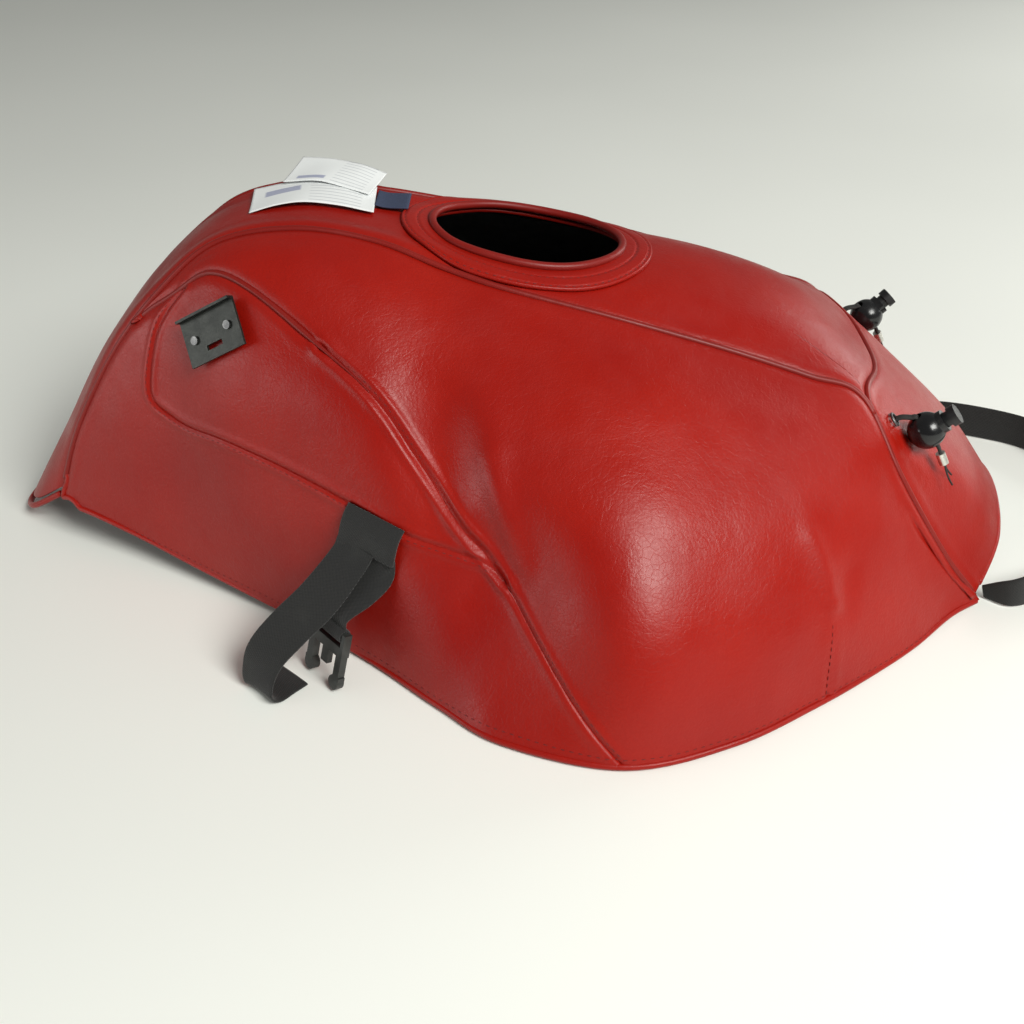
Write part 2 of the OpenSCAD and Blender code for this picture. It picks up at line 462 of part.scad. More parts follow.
// local frame of a lock: Z out along the plunger, X along the cord, origin at the ball's middle
module on_lock(s) translate([lock_base[0] + lock_n[0] * (ball_r + 0.8), s * (lock_base[1] + lock_n[1] * (ball_r + 0.8)),
                             lock_base[2] + lock_n[2] * (ball_r + 0.8)])
    rotate([0, 0, s * lock_turn]) rotate([0, lock_tilt, 0]) children();
module lock_body(s) color([0.09, 0.09, 0.1]) on_lock(s) difference() {
    union() {
        sphere(r = ball_r, $fn = 48);
        cylinder(r = stem_r + 2.2, h = ball_r + 1.2, $fn = 48);
    }
    translate([0, 0, -ball_r * 0.45]) cylinder(r = stem_r + run_gap, h = 3 * ball_r, $fn = 48);
    rotate([0, 90, 0]) cylinder(d = cord_bore, h = 3 * ball_r, center = true, $fn = 32);
}
module lock_plunger(s) color([0.14, 0.14, 0.15]) on_lock(s) {
    difference() {
        translate([0, 0, -ball_r * 0.45 + plunger_travel + 2.2])
            cylinder(r = stem_r, h = ball_r * 1.45 + 2.4 - 2.2, $fn = 48);
        // fork that stays clear of the cords through the whole travel
        for (z = [0, plunger_travel]) translate([-ball_r, 0, z + 0.1]) rotate([0, 90, 0])
            cylinder(d = cord_bore, h = 2 * ball_r, $fn = 32);
        translate([-ball_r, -cord_bore / 2, -ball_r]) cube([2 * ball_r, cord_bore, ball_r + plunger_travel + 0.1]);
    }
    translate([0, 0, ball_r + 1.2 + plunger_travel + run_gap]) cylinder(r = stem_r + 1.6, h = button_h, $fn = 48);
}
module lock_spring(s) color([0.6, 0.6, 0.62]) on_lock(s)
    for (k = [0:1]) translate([0, 0, -ball_r * 0.45 + 0.55 + k * 1.1])
        rotate_extrude($fn = 32) translate([stem_r - 1.4, 0]) circle(d = 0.9, $fn = 16);
// elastic cord: out of an eyelet, through the lock, and down to a crimp
eyelet_x = -ball_r - 5;
module lock_cord(s) color([0.07, 0.07, 0.07]) on_lock(s) for (m = [-1, 1]) {
    y = m * (elastic_d / 2 + 0.3);
    P = [[eyelet_x, y, -ball_r + 0.8], [eyelet_x + 1, y, -ball_r * 0.6], [eyelet_x + 4, y, -2.5],
         [-ball_r + 1, y, 0], [0, y, 0], [ball_r, y, 0], [ball_r + 4, y, -0.6], [ball_r + 6, y, -1.4]];
    tube([for (i = [0:14]) along(P, i / 2)], [for (i = [0:14]) [0, 1, 0]], elastic_d / 2, 6);
}
module cord_tails(s) color([0.07, 0.07, 0.07]) on_lock(s) for (m = [-1, 1]) {
    P = [[ball_r + 14.6, m * 1.3, -3.4], [ball_r + 18, m * 2.4, -4.6], [ball_r + 22, m * 4.4, -5.4], [ball_r + 26, m * 6, -5.6]];
    tube([for (i = [0:6]) along(P, i / 2)], [for (i = [0:6]) [0, 1, 0]], 0.6, 5);
}
module lock_crimp(s) on_lock(s) translate([ball_r + 6.4, 0, -1.6]) rotate([0, 104, 0])
    scale(1) cylinder(d = 2 * elastic_d + 1.6, h = 7.6, $fn = 32);
module lock_crimps() color([0.75, 0.72, 0.66]) { lock_crimp(1); lock_crimp(-1); }
module eyelet_one(s) on_lock(s) translate([eyelet_x, 0, -ball_r + 0.2]) rotate_extrude($fn = 32)
    translate([elastic_d + 1.8, 0]) circle(d = 1.6, $fn = 16);
module cord_eyelets() color([0.5, 0.5, 0.5]) { eyelet_one(1); eyelet_one(-1); }

// ---- labels behind the filler ring ----
label_x = hole_x - filler_l / 2 - ring_band - 1.5;
// a point behind the ring: distance back, distance to the left, height over the middle of the cover
function behind(back, y, lift) = [label_x - back, y, over(180, hole_x - label_x + back, 1, 0)[2] + lift];
module label_tab() color([0.16, 0.2, 0.28])
    strip([for (p = [[-1, 18, 3.3], [7, 18, 2.9], [14, 18, 3.3]]) [behind(p[0], p[1], p[2]), [0, 1, 0]]],
          6, label_w * 0.6, 1.2);
module size_label() color([0.86, 0.88, 0.88])
    strip([for (p = [[15.2, 14, 3.7], [32, 13, 4.6], [52, 12, 3.9], [70, 10, 3.3], [14 + label_l * 0.86, 8, 2.4]])
              [behind(p[0], p[1], p[2]), [0, 1, 0]]], 16, label_w, 0.5);
module care_label() color([0.9, 0.91, 0.91])
    strip([for (p = [[15.2, 34, 6.4], [30, 37, 7.2], [48, 41, 6.9], [8 + label_l * 0.7, 45, 6.3]])
              [behind(p[0], p[1], p[2]), [0, 1, 0.06]]], 14, label_w * 0.9, 0.5);

centre_panel();
front_panel();
right() side_panel();  // right_side_panel
side_panel();  // left_side_panel
right() knee_panel();  // right_knee_panel
knee_panel();  // left_knee_panel
right() rear_skirt();  // right_rear_skirt
rear_skirt();  // left_rear_skirt
right() side_lining();  // right_lining
side_lining();  // left_lining
rear_lining();
front_lining();
filler_ring();
filler_lip();
right() crown_piping();  // right_crown_piping
crown_piping();  // left_crown_piping
neck_piping();
right() arch_piping();  // right_arch_piping
arch_piping();  // left_arch_piping
right() side_hem();  // right_hem
side_hem();  // left_hem
front_hem();
tail_hem();
right() trim_plate();  // right_trim_plate
trim_plate();  // left_trim_plate
trim_rivets();
right() strap_tab();  // right_strap_tab
strap_tab();  // left_strap_tab
right() tail_webbing();  // right_tail_webbing
tail_webbing();  // left_tail_webbing
right() buckle_webbing();  // right_buckle_webbing
buckle_webbing();  // left_buckle_webbing
right() prong_buckle();
socket_buckle();
front_webbing();
front_slider();
lock_body(-1);  // right_lock_body
lock_body(1);  // left_lock_body
lock_plunger(-1);  // right_lock_plunger
lock_plunger(1);  // left_lock_plunger
lock_spring(-1);  // right_lock_spring
lock_spring(1);  // left_lock_spring
lock_cord(-1);  // right_lock_cord
lock_cord(1);  // left_lock_cord
cord_tails(-1);  // right_cord_tails
cord_tails(1);  // left_cord_tails
lock_crimps();
cord_eyelets();
label_tab();
size_label();
care_label();
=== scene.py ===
"""Sewn leatherette cover for a motorcycle fuel tank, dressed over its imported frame.

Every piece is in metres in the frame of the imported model: +X forward, +Y left, +Z up.
"""

from __future__ import annotations

import logging
import math
from dataclasses import dataclass, field
from enum import Enum
from typing import Callable, Sequence

import bmesh
import bpy
import numpy as np
from mathutils import Matrix, Vector

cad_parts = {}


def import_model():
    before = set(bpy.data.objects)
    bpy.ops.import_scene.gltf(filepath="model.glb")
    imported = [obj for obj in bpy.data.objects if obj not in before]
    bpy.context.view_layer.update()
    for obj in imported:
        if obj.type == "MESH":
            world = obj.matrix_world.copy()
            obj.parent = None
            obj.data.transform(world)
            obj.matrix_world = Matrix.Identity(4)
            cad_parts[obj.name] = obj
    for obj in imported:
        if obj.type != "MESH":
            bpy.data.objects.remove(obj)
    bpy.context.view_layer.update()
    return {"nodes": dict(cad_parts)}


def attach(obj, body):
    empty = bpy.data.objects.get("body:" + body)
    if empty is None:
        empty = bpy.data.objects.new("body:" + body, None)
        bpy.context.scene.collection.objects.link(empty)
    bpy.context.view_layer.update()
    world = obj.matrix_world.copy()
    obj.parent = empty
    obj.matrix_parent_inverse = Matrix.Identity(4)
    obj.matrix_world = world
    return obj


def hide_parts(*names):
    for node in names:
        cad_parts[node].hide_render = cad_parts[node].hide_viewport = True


LOG = logging.getLogger("tank_cover")
MM = 0.001
Array = np.ndarray


class Side(Enum):
    """A side of the cover; the value is the sign of Y."""

    RIGHT = -1
    LEFT = 1

    @property
    def word(self) -> str:
        """The side's name as the frame spells it."""
        return self.name.lower()


# ---------------------------------------------------------------- shape


@dataclass
class CoverShape:
    """The sewn form: seven lines from tail to front hem, as [from tail, half width, height] in mm."""

    centre_x: float = 364.0
    lines: tuple = (
        ((-2, 0, 2), (36, 0, 64), (78, 0, 128), (115, 0, 172), (155, 0, 203), (205, 0, 213), (252, 0, 206),
         (292, 0, 199), (328, 0, 195), (391, 0, 186), (450, 0, 176), (505, 0, 156), (553, 0, 121), (585, 0, 97),
         (622, 0, 62), (648, 0, 28)),
        ((8, 21, 9), (43, 19, 69), (81, 20, 130), (118, 21, 173), (157, 21, 203), (205, 21, 213), (252, 22, 206),
         (292, 28, 198), (328, 34, 193), (391, 38, 183), (450, 38, 171), (503, 39, 152), (548, 40, 124),
         (578, 54, 95), (614, 58, 56), (640, 56, 18)),
        ((35, 34, 28), (57, 35, 80), (90, 36, 134), (124, 38, 174), (160, 38, 203), (206, 39, 212), (252, 42, 206),
         (292, 54, 195), (328, 65, 187), (391, 71, 172), (450, 72, 155), (500, 74, 139), (532, 76, 127),
         (556, 101, 87), (588, 108, 38), (612, 107, 8)),
        ((35, 35, 27), (58, 40, 66), (91, 49, 108), (126, 56, 148), (161, 60, 191), (206, 72, 200), (252, 84, 189),
         (292, 103, 167), (328, 118, 157), (391, 132, 149), (450, 124, 134), (500, 116, 117), (534, 108, 103),
         (559, 114, 68), (590, 112, 29), (613, 107, 7)),
        ((36, 36, 26), (59, 44, 52), (94, 58, 78), (129, 70, 108), (164, 88, 140), (206, 106, 150), (252, 128, 142),
         (292, 146, 112), (328, 160, 122), (391, 187, 112), (450, 172, 100), (500, 152, 86), (536, 134, 74),
         (562, 127, 46), (592, 115, 20), (614, 107, 6)),
        ((36, 37, 25), (60, 48, 38), (96, 65, 48), (132, 81, 60), (167, 102, 75), (206, 124, 80), (252, 152, 75),
         (292, 180, 58), (328, 183, 70), (391, 228, 62), (450, 210, 54), (500, 182, 46), (537, 156, 38),
         (565, 138, 24), (593, 118, 11), (615, 107, 5)),
        ((36, 38, 24), (60, 51, 24), (98, 70, 18), (134, 90, 12), (168, 110, 8), (206, 134, 5), (252, 168, 2),
         (292, 204, 2), (328, 232, 2), (391, 249, 2), (450, 231, 2), (500, 200, 2), (538, 172, 2), (567, 148, 2),
         (595, 121, 3), (616, 107, 4)),
    )

    @staticmethod
    def along(points: Sequence, t: Array) -> Array:
        """Smooth curve through points.

        Args:
            points: keys, one per whole value of t.
            t: places to read the curve at.

        Returns:
            One row per value of t.
        """
        keys = np.asarray(points, float)
        t = np.atleast_1d(np.asarray(t, float))
        last = len(keys) - 1
        i = np.clip(np.floor(t).astype(int), 0, last - 1)
        f = (t - i)[:, None]
        ext = np.vstack([2 * keys[0] - keys[1], keys, 2 * keys[-1] - keys[-2]])
        a, b, c, d = ext[i], ext[i + 1], ext[i + 2], ext[i + 3]
        return b + 0.5 * f * (c - a + f * (2 * a - 5 * b + 4 * c - d + f * (3 * (b - c) + d - a)))

    def at(self, u: Array, v: Array) -> Array:
        """Points of the left half in mm at station u and line v; a negative v is the right half."""
        u, v = np.broadcast_arrays(np.atleast_1d(u).astype(float), np.atleast_1d(v).astype(float))
        w = np.abs(v)
        rows = [self.along(line, u) for line in self.lines]
        rows = [rows[1] * np.array([1, -1, 1]), *rows, 2 * rows[6] - rows[5]]
        stack = np.array(rows)
        i = np.clip(np.floor(w).astype(int), 0, 5)
        k = np.arange(len(w))
        f = (w - i)[:, None]
        a, b, c, d = stack[i, k], stack[i + 1, k], stack[i + 2, k], stack[i + 3, k]
        p = b + 0.5 * f * (c - a + f * (2 * a - 5 * b + 4 * c - d + f * (3 * (b - c) + d - a)))
        p[:, 0] -= self.centre_x
        p[:, 1] *= np.where(v < 0, -1.0, 1.0)
        return p

    def out(self, u: Array, v: Array) -> Array:
        """Unit directions out of the cover at station u and line v."""
        u, v = np.broadcast_arrays(np.atleast_1d(u).astype(float), np.atleast_1d(v).astype(float))
        e = 0.04
        du = self.at(np.minimum(15, u + e), v) - self.at(np.maximum(0, u - e), v)
        dv = self.at(u, np.minimum(6, v + e)) - self.at(u, np.maximum(-6, v - e))
        n = np.cross(du, dv)
        return n / np.maximum(np.linalg.norm(n, axis=1, keepdims=True), 1e-9)

    def skin(self, q: Array, lift: Array | float = 0.0) -> Array:
        """Points over [station, line] pairs, raised by lift in mm."""
        p = self.at(q[:, 0], q[:, 1])
        return p + np.reshape(np.broadcast_to(lift, len(p)), (-1, 1)) * self.out(q[:, 0], q[:, 1])

    def find(self, x: Array, y: Array) -> Array:
        """The [station, line] pairs above points of the plan, near the crown."""
        side = np.where(y < 0, -1.0, 1.0)
        ya = np.abs(y)
        q = np.tile([8.0, 1.0], (len(x), 1))
        e = 0.02
        for _ in range(12):
            p = self.at(q[:, 0], q[:, 1])
            a = (self.at(q[:, 0] + e, q[:, 1]) - p) / e
            b = (self.at(q[:, 0], q[:, 1] + e) - p) / e
            det = a[:, 0] * b[:, 1] - a[:, 1] * b[:, 0]
            s, t = x - p[:, 0], ya - p[:, 1]
            q[:, 0] = np.clip(q[:, 0] + (s * b[:, 1] - t * b[:, 0]) / det, 0.2, 14)
            q[:, 1] = np.clip(q[:, 1] + (t * a[:, 0] - s * a[:, 1]) / det, 0, 5)
        q[:, 1] *= side
        return q


SHAPE = CoverShape()

STAR = (8.0, 4.98)
ARCH_SEAM = ((2.45, 2.06), (3, 2.3), (3.65, 2.7), (4.4, 3.15), (5, 3.45), (5.5, 3.65), (6.05, 3.8), (6.45, 3.9),
             (7, 4.1), (7.6, 4.6), STAR)
KNEE_SEAM = ((3.65, 2.7), (3.05, 2.65), (2.8, 2.95), (2.65, 3.45), (2.85, 3.85), (3.4, 4.3), (4.3, 4.6), (5.4, 4.75),
             (6.2, 4.75), (7, 4.55), (7.6, 4.75), STAR)
SKIRT_SEAM = (STAR, (8.5, 5.49), (9.0, 6.0))
CROWN = ((0, 2), (3, 2), (6, 2), (9, 2), (12, 2), (15, 2))
NECK_SEAM = ((14.9, 2), (14, 2), (13.1, 2), (12.3, 2), (12.1, 1.86), (12, 1.4), (12, 0.7), (12, 0))
DART = ((11.16, 6), (11.2, 4.94))


@dataclass(frozen=True)
class Edge:
    """A panel's edge: stretches of seams, each [seam keys, key numbers to pass at whole steps]."""

    stretches: tuple

    @property
    def steps(self) -> int:
        """Whole steps along the edge."""
        return sum(len(at) - 1 for _, at in self.stretches)

    def at(self, s: Array) -> Array:
        """[station, line] pairs at places from 0 to 1 along the edge."""
        t = np.clip(s, 0, 1) * self.steps
        q = np.zeros((len(t), 2))
        first = 0
        for keys, at in self.stretches:
            span = len(at) - 1
            here = (t >= first - 1e-9) & (t <= first + span + 1e-9)
            q[here] = SHAPE.along(keys, np.interp(t[here] - first, np.arange(span + 1), at))
            first += span
        return q


def straight(*points: tuple[float, float]) -> tuple:
    """A stretch through keys of its own, one to a step."""
    return points, tuple(range(len(points)))


KNEE_TOP = Edge(((ARCH_SEAM, (2, 2.33, 2.6, 3, 3.5, 4, 5, 6, 7, 8, 9, 10)),))
KNEE_LOW = Edge(((KNEE_SEAM, tuple(range(12))),))
REAR_IN = Edge(((ARCH_SEAM, (0, 0.6, 1.2, 2)), (KNEE_SEAM, tuple(range(12)))))
REAR_OUT = Edge((straight((2.4, 2), (2.2, 2), (1.8, 2), (1.4, 2)),
                 straight((1.4, 2), (0.9, 2), (0.3, 2)),
                 straight((0.3, 2), (0.04, 4), (0.6, 6)),
                 straight((0.6, 6), (2.2, 6), (3.6, 6), (5, 6), (6.2, 6), (7.2, 6), (8.1, 6), (9.0, 6))))
SIDE_TOP = Edge((straight((2.5, 2), (3.05, 2), (3.6, 2), (4.3, 2), (5, 2), (5.5, 2), (6.05, 2), (6.45, 2), (7, 2),
                          (7.6, 2), (8.1, 2), (8.6, 2), (9.1, 2), (10, 2), (11, 2), (12, 2), (13, 2), (14, 2),
                          (14.98, 2)),))
SIDE_LOW = Edge(((ARCH_SEAM, tuple(range(11))), (SKIRT_SEAM, (0, 1, 2)),
                 straight((9, 6), (10, 6), (11, 6), (12, 6), (13, 6), (14, 6), (14.98, 6))))


# ---------------------------------------------------------------- node tools


class Val:
    """A node socket that can be used in plain arithmetic."""

    def __init__(self, tree: "Tree", socket: bpy.types.NodeSocket) -> None:
        """Keeps the tree and the output socket."""
        self.tree = tree
        self.socket = socket

    def _math(self, op: str, a: object, b: object) -> "Val":
        """A Math node on two values."""
        return self.tree.node("ShaderNodeMath", {"operation": op}, {0: a, 1: b})

    def __add__(self, o: object) -> "Val":
        """self + o."""
        return self._math("ADD", self, o)

    def __radd__(self, o: object) -> "Val":
        """o + self."""
        return self._math("ADD", o, self)

    def __sub__(self, o: object) -> "Val":
        """self - o."""
        return self._math("SUBTRACT", self, o)

    def __rsub__(self, o: object) -> "Val":
        """o - self."""
        return self._math("SUBTRACT", o, self)

    def __mul__(self, o: object) -> "Val":
        """self * o."""
        return self._math("MULTIPLY", self, o)

    def __rmul__(self, o: object) -> "Val":
        """o * self."""
        return self._math("MULTIPLY", o, self)

    def __truediv__(self, o: object) -> "Val":
        """self / o."""
        return self._math("DIVIDE", self, o)

    def __pow__(self, o: object) -> "Val":
        """self ** o."""
        return self._math("POWER", self, o)


class Tree:
    """A material's node tree with its Principled shader."""

    def __init__(self, name: str) -> None:
        """Makes an empty material called name."""
        self.material = bpy.data.materials.new(name)
        self.material.use_nodes = True
        self.nodes = self.material.node_tree.nodes
        self.links = self.material.node_tree.links
        self.shader = next(n for n in self.nodes if n.type == "BSDF_PRINCIPLED")

    def put(self, socket: bpy.types.NodeSocket, value: object) -> None:
        """Links or sets one input socket."""
        if isinstance(value, Val):
            self.links.new(value.socket, socket)
        else:
            socket.default_value = value

    def node(self, kind: str, settings: dict | None = None, inputs: dict | None = None, out: int | str = 0) -> Val:
        """Adds a node.

        Args:
            kind: the node's type name.
            settings: properties to set first; "stops" fills a colour ramp.
            inputs: values or links by socket name or number.
            out: the output wanted.

        Returns:
            The output as a Val.
        """
        n = self.nodes.new(kind)
        for key, value in (settings or {}).items():
            if key == "stops":
                ramp = n.color_ramp
                while len(ramp.elements) < len(value):
                    ramp.elements.new(0.5)
                for element, (place, colour) in zip(ramp.elements, value):
                    element.position = place
                    element.color = colour
            else:
                setattr(n, key, value)
        for key, value in (inputs or {}).items():
            self.put(n.inputs[key], value)
        return Val(self, n.outputs[out])

    def coords(self, kind: str = "Object") -> Val:
        """The piece's own coordinates."""
        return self.node("ShaderNodeTexCoord", out=kind)

    def split(self, vector: Val) -> tuple[Val, Val, Val]:
        """A vector's three parts."""
        parts = self.node("ShaderNodeSeparateXYZ", inputs={0: vector})
        outs = parts.socket.node.outputs
        return Val(self, outs[0]), Val(self, outs[1]), Val(self, outs[2])

    def noise(self, where: Val, scale: float, detail: float = 3.0, rough: float = 0.5) -> Val:
        """Soft noise from 0 to 1."""
        return self.node("ShaderNodeTexNoise", None,
                         {"Vector": where, "Scale": scale, "Detail": detail, "Roughness": rough})

    def mix(self, fac: object, a: object, b: object, blend: str = "MIX") -> Val:
        """Mixes two colours."""
        n = self.nodes.new("ShaderNodeMix")
        n.data_type = "RGBA"
        n.blend_type = blend
        self.put(n.inputs["Factor"], fac)
        self.put(n.inputs[6], a)
        self.put(n.inputs[7], b)
        return Val(self, n.outputs[2])

    def span(self, value: Val, low: float, high: float, to_low: float, to_high: float) -> Val:
        """Maps a range of values to another, held at its ends."""
        return self.node("ShaderNodeMapRange", None, {0: value, 1: low, 2: high, 3: to_low, 4: to_high})

    def bump(self, height: Val, depth: float, strength: float = 1.0, under: Val | None = None) -> Val:
        """A bump of depth metres, over another one if given."""
        inputs: dict = {"Height": height, "Distance": depth, "Strength": strength}
        if under is not None:
            inputs["Normal"] = under
        return self.node("ShaderNodeBump", None, inputs)

    def finish(self, **sockets: object) -> bpy.types.Material:
        """Sets the shader's sockets, with underscores for spaces, and returns the material."""
        for key, value in sockets.items():
            self.put(self.shader.inputs[key.replace("_", " ")], value)
        return self.material


Colour = tuple[float, float, float, float]


@dataclass(frozen=True)
class LeatherFinish:
    """Grained coated fabric."""

    name: str = "red_leatherette"
    deep: Colour = (0.25, 0.0035, 0.0012, 1)
    bright: Colour = (0.335, 0.009, 0.003, 1)
    grain_size: float = 0.0016
    grain_depth: float = 0.00016
    gloss: float = 0.34
    coat: float = 0.05

    def make(self) -> bpy.types.Material:
        """Builds the material."""
        t = Tree(self.name)
        where = t.coords()
        cloudy = t.noise(where, 9.0, 3.0)
        drift = t.noise(where, 42.0, 2.0)
        warp = t.node("ShaderNodeVectorMath", {"operation": "MULTIPLY_ADD"},
                      {0: t.node("ShaderNodeTexNoise", None, {"Vector": where, "Scale": 260.0}, out=1),
                       1: (0.0012, 0.0012, 0.0012), 2: where})
        cells = t.node("ShaderNodeTexVoronoi", {"feature": "SMOOTH_F1"},
                       {"Vector": warp, "Scale": 1 / self.grain_size, "Smoothness": 0.35})
        fine = t.noise(where, 2600.0, 2.0)
        creases = t.node("ShaderNodeTexVoronoi", {"feature": "DISTANCE_TO_EDGE"},
                         {"Vector": warp, "Scale": 0.32 / self.grain_size})
        lines = t.span(creases, 0.0, 0.05, 0.0, 1.0)
        grain = (1 - cells) * 0.7 + fine * 0.25 + lines * 0.3
        colour = t.mix(t.span(cloudy, 0.3, 0.7, 0, 1), self.deep, self.bright)
        colour = t.mix(t.span(cells, 0.2, 0.7, 0.0, 0.28), colour, self.deep)
        rough = t.span(drift, 0.3, 0.7, self.gloss - 0.05, self.gloss + 0.08) + cells * 0.08
        swell = t.bump(t.noise(where, 70.0, 2.0), 0.0009, 0.5)
        return t.finish(Base_Color=colour, Roughness=rough, Normal=t.bump(grain, self.grain_depth, 0.75, swell),
                        Coat_Weight=self.coat, Coat_Roughness=0.28, Specular_IOR_Level=0.26)


@dataclass(frozen=True)
class WebbingFinish:
    """Woven webbing; its pattern follows the strap's UV map, in metres."""

    name: str = "black_webbing"
    yarn: Colour = (0.010, 0.010, 0.0095, 1)
    gap: Colour = (0.004, 0.004, 0.004, 1)
    pitch: float = 0.0013

    def make(self) -> bpy.types.Material:
        """Builds the material."""
        t = Tree(self.name)
        u, v, _ = t.split(t.coords("UV"))
        row = t.node("ShaderNodeMath", {"operation": "SINE"}, {0: u * (2 * math.pi / self.pitch)})
        flip = t.node("ShaderNodeMath", {"operation": "SINE"}, {0: v * (2 * math.pi / (self.pitch * 1.7))})
        weave = row * flip * 0.5 + 0.5
        where = t.coords()
        fuzz = t.noise(where, 1800.0, 3.0)
        wear = t.noise(where, 60.0, 3.0)
        colour = t.mix(weave * 0.8 + fuzz * 0.2, self.gap, self.yarn)
        colour = t.mix(t.span(wear, 0.55, 0.8, 0, 0.35), colour, (0.022, 0.023, 0.021, 1))
        height = weave * 0.8 + fuzz * 0.4
        return t.finish(Base_Color=colour, Roughness=t.span(fuzz, 0.2, 0.8, 0.72, 0.95),
                        Normal=t.bump(height, 0.0003, 0.8), Sheen_Weight=0.15, Sheen_Roughness=0.5)


@dataclass(frozen=True)
class PlasticFinish:
    """Moulded plastic with a fine texture and a soft edge sheen."""

    name: str = "black_plastic"
    colour: Colour = (0.014, 0.015, 0.014, 1)
    worn: Colour = (0.04, 0.042, 0.04, 1)
    gloss: float = 0.4
    texture: float = 0.00006

    def make(self) -> bpy.types.Material:
        """Builds the material."""
        t = Tree(self.name)
        where = t.coords()
        speck = t.noise(where, 2200.0, 2.0)
        smear = t.noise(where, 90.0, 3.0)
        colour = t.mix(t.span(smear, 0.45, 0.75, 0, 1), self.colour, self.worn)
        rough = t.span(smear, 0.3, 0.7, self.gloss - 0.08, self.gloss + 0.12)
        return t.finish(Base_Color=colour, Roughness=rough, Normal=t.bump(speck, self.texture, 0.7),
                        Specular_IOR_Level=0.5)


@dataclass(frozen=True)
class MetalFinish:
    """Metal, plain or blackened, with fine scratches."""

    name: str = "gunmetal"
    colour: Colour = (0.09, 0.095, 0.088, 1)
    light: Colour = (0.2, 0.2, 0.19, 1)
    gloss: float = 0.42
    metallic: float = 0.85

    def make(self) -> bpy.types.Material:
        """Builds the material."""
        t = Tree(self.name)
        where = t.coords()
        streak = t.noise(where, 1900.0, 3.0)
        patch = t.noise(where, 130.0, 4.0)
        colour = t.mix(t.span(patch, 0.4, 0.75, 0, 1), self.colour, self.light)
        rough = t.span(streak, 0.3, 0.7, self.gloss - 0.08, self.gloss + 0.14)
        return t.finish(Base_Color=colour, Roughness=rough, Metallic=self.metallic,
                        Normal=t.bump(streak, 0.00002, 0.4))


@dataclass(frozen=True)
class ClothFinish:
    """Plain woven or knitted cloth, such as lining, thread and blank label ribbon."""

    name: str = "lining"
    colour: Colour = (0.006, 0.006, 0.007, 1)
    dark: Colour = (0.002, 0.002, 0.002, 1)
    rough: float = 0.9
    pitch: float = 0.0009

    def make(self) -> bpy.types.Material:
        """Builds the material."""
        t = Tree(self.name)
        where = t.coords()
        fibre = t.noise(where, 1 / self.pitch, 3.0)
        return t.finish(Base_Color=t.mix(fibre, self.dark, self.colour),
                        Roughness=t.span(fibre, 0.3, 0.7, self.rough - 0.06, min(1.0, self.rough + 0.05)),
                        Normal=t.bump(fibre, 0.0002, 0.6))


@dataclass(frozen=True)
class LabelFinish:
    """Satin ribbon with plain grey rules and an empty tinted field; its UV runs from 0 to 1."""

    name: str = "label_ribbon"
    white: Colour = (0.78, 0.80, 0.80, 1)
    ink: Colour = (0.30, 0.32, 0.36, 1)
    tint: Colour = (0.16, 0.18, 0.36, 1)
    rules: float = 9.0
    band: tuple[float, float] = (0.34, 0.40)

    def make(self) -> bpy.types.Material:
        """Builds the material."""
        t = Tree(self.name)
        u, v, _ = t.split(t.coords("UV"))
        where = t.coords()
        weave = t.noise(where, 1500.0, 2.0)
        line = t.node("ShaderNodeMath", {"operation": "FRACT"}, {0: v * self.rules})
        thin = t.span(line, 0.72, 0.8, 0, 1) * t.span(line, 0.92, 1.0, 1, 0)
        inside = t.span(u, 0.1, 0.12, 0, 1) * t.span(u, 0.5, 0.52, 1, 0)
        field_u = t.span(u, 0.58, 0.6, 0, 1) * t.span(u, 0.88, 0.9, 1, 0)
        low, high = self.band
        field_v = t.span(v, low, low + 0.02, 0, 1) * t.span(v, high, high + 0.02, 1, 0)
        colour = t.mix(thin * inside * 0.55, self.white, self.ink)
        colour = t.mix(field_u * field_v * 0.7, colour, self.tint)
        return t.finish(Base_Color=colour, Roughness=t.span(weave, 0.3, 0.7, 0.5, 0.66),
                        Normal=t.bump(weave, 0.00008, 0.5), Sheen_Weight=0.1)


# ---------------------------------------------------------------- mesh tools

Mapper = Callable[[Array, Array], Array]


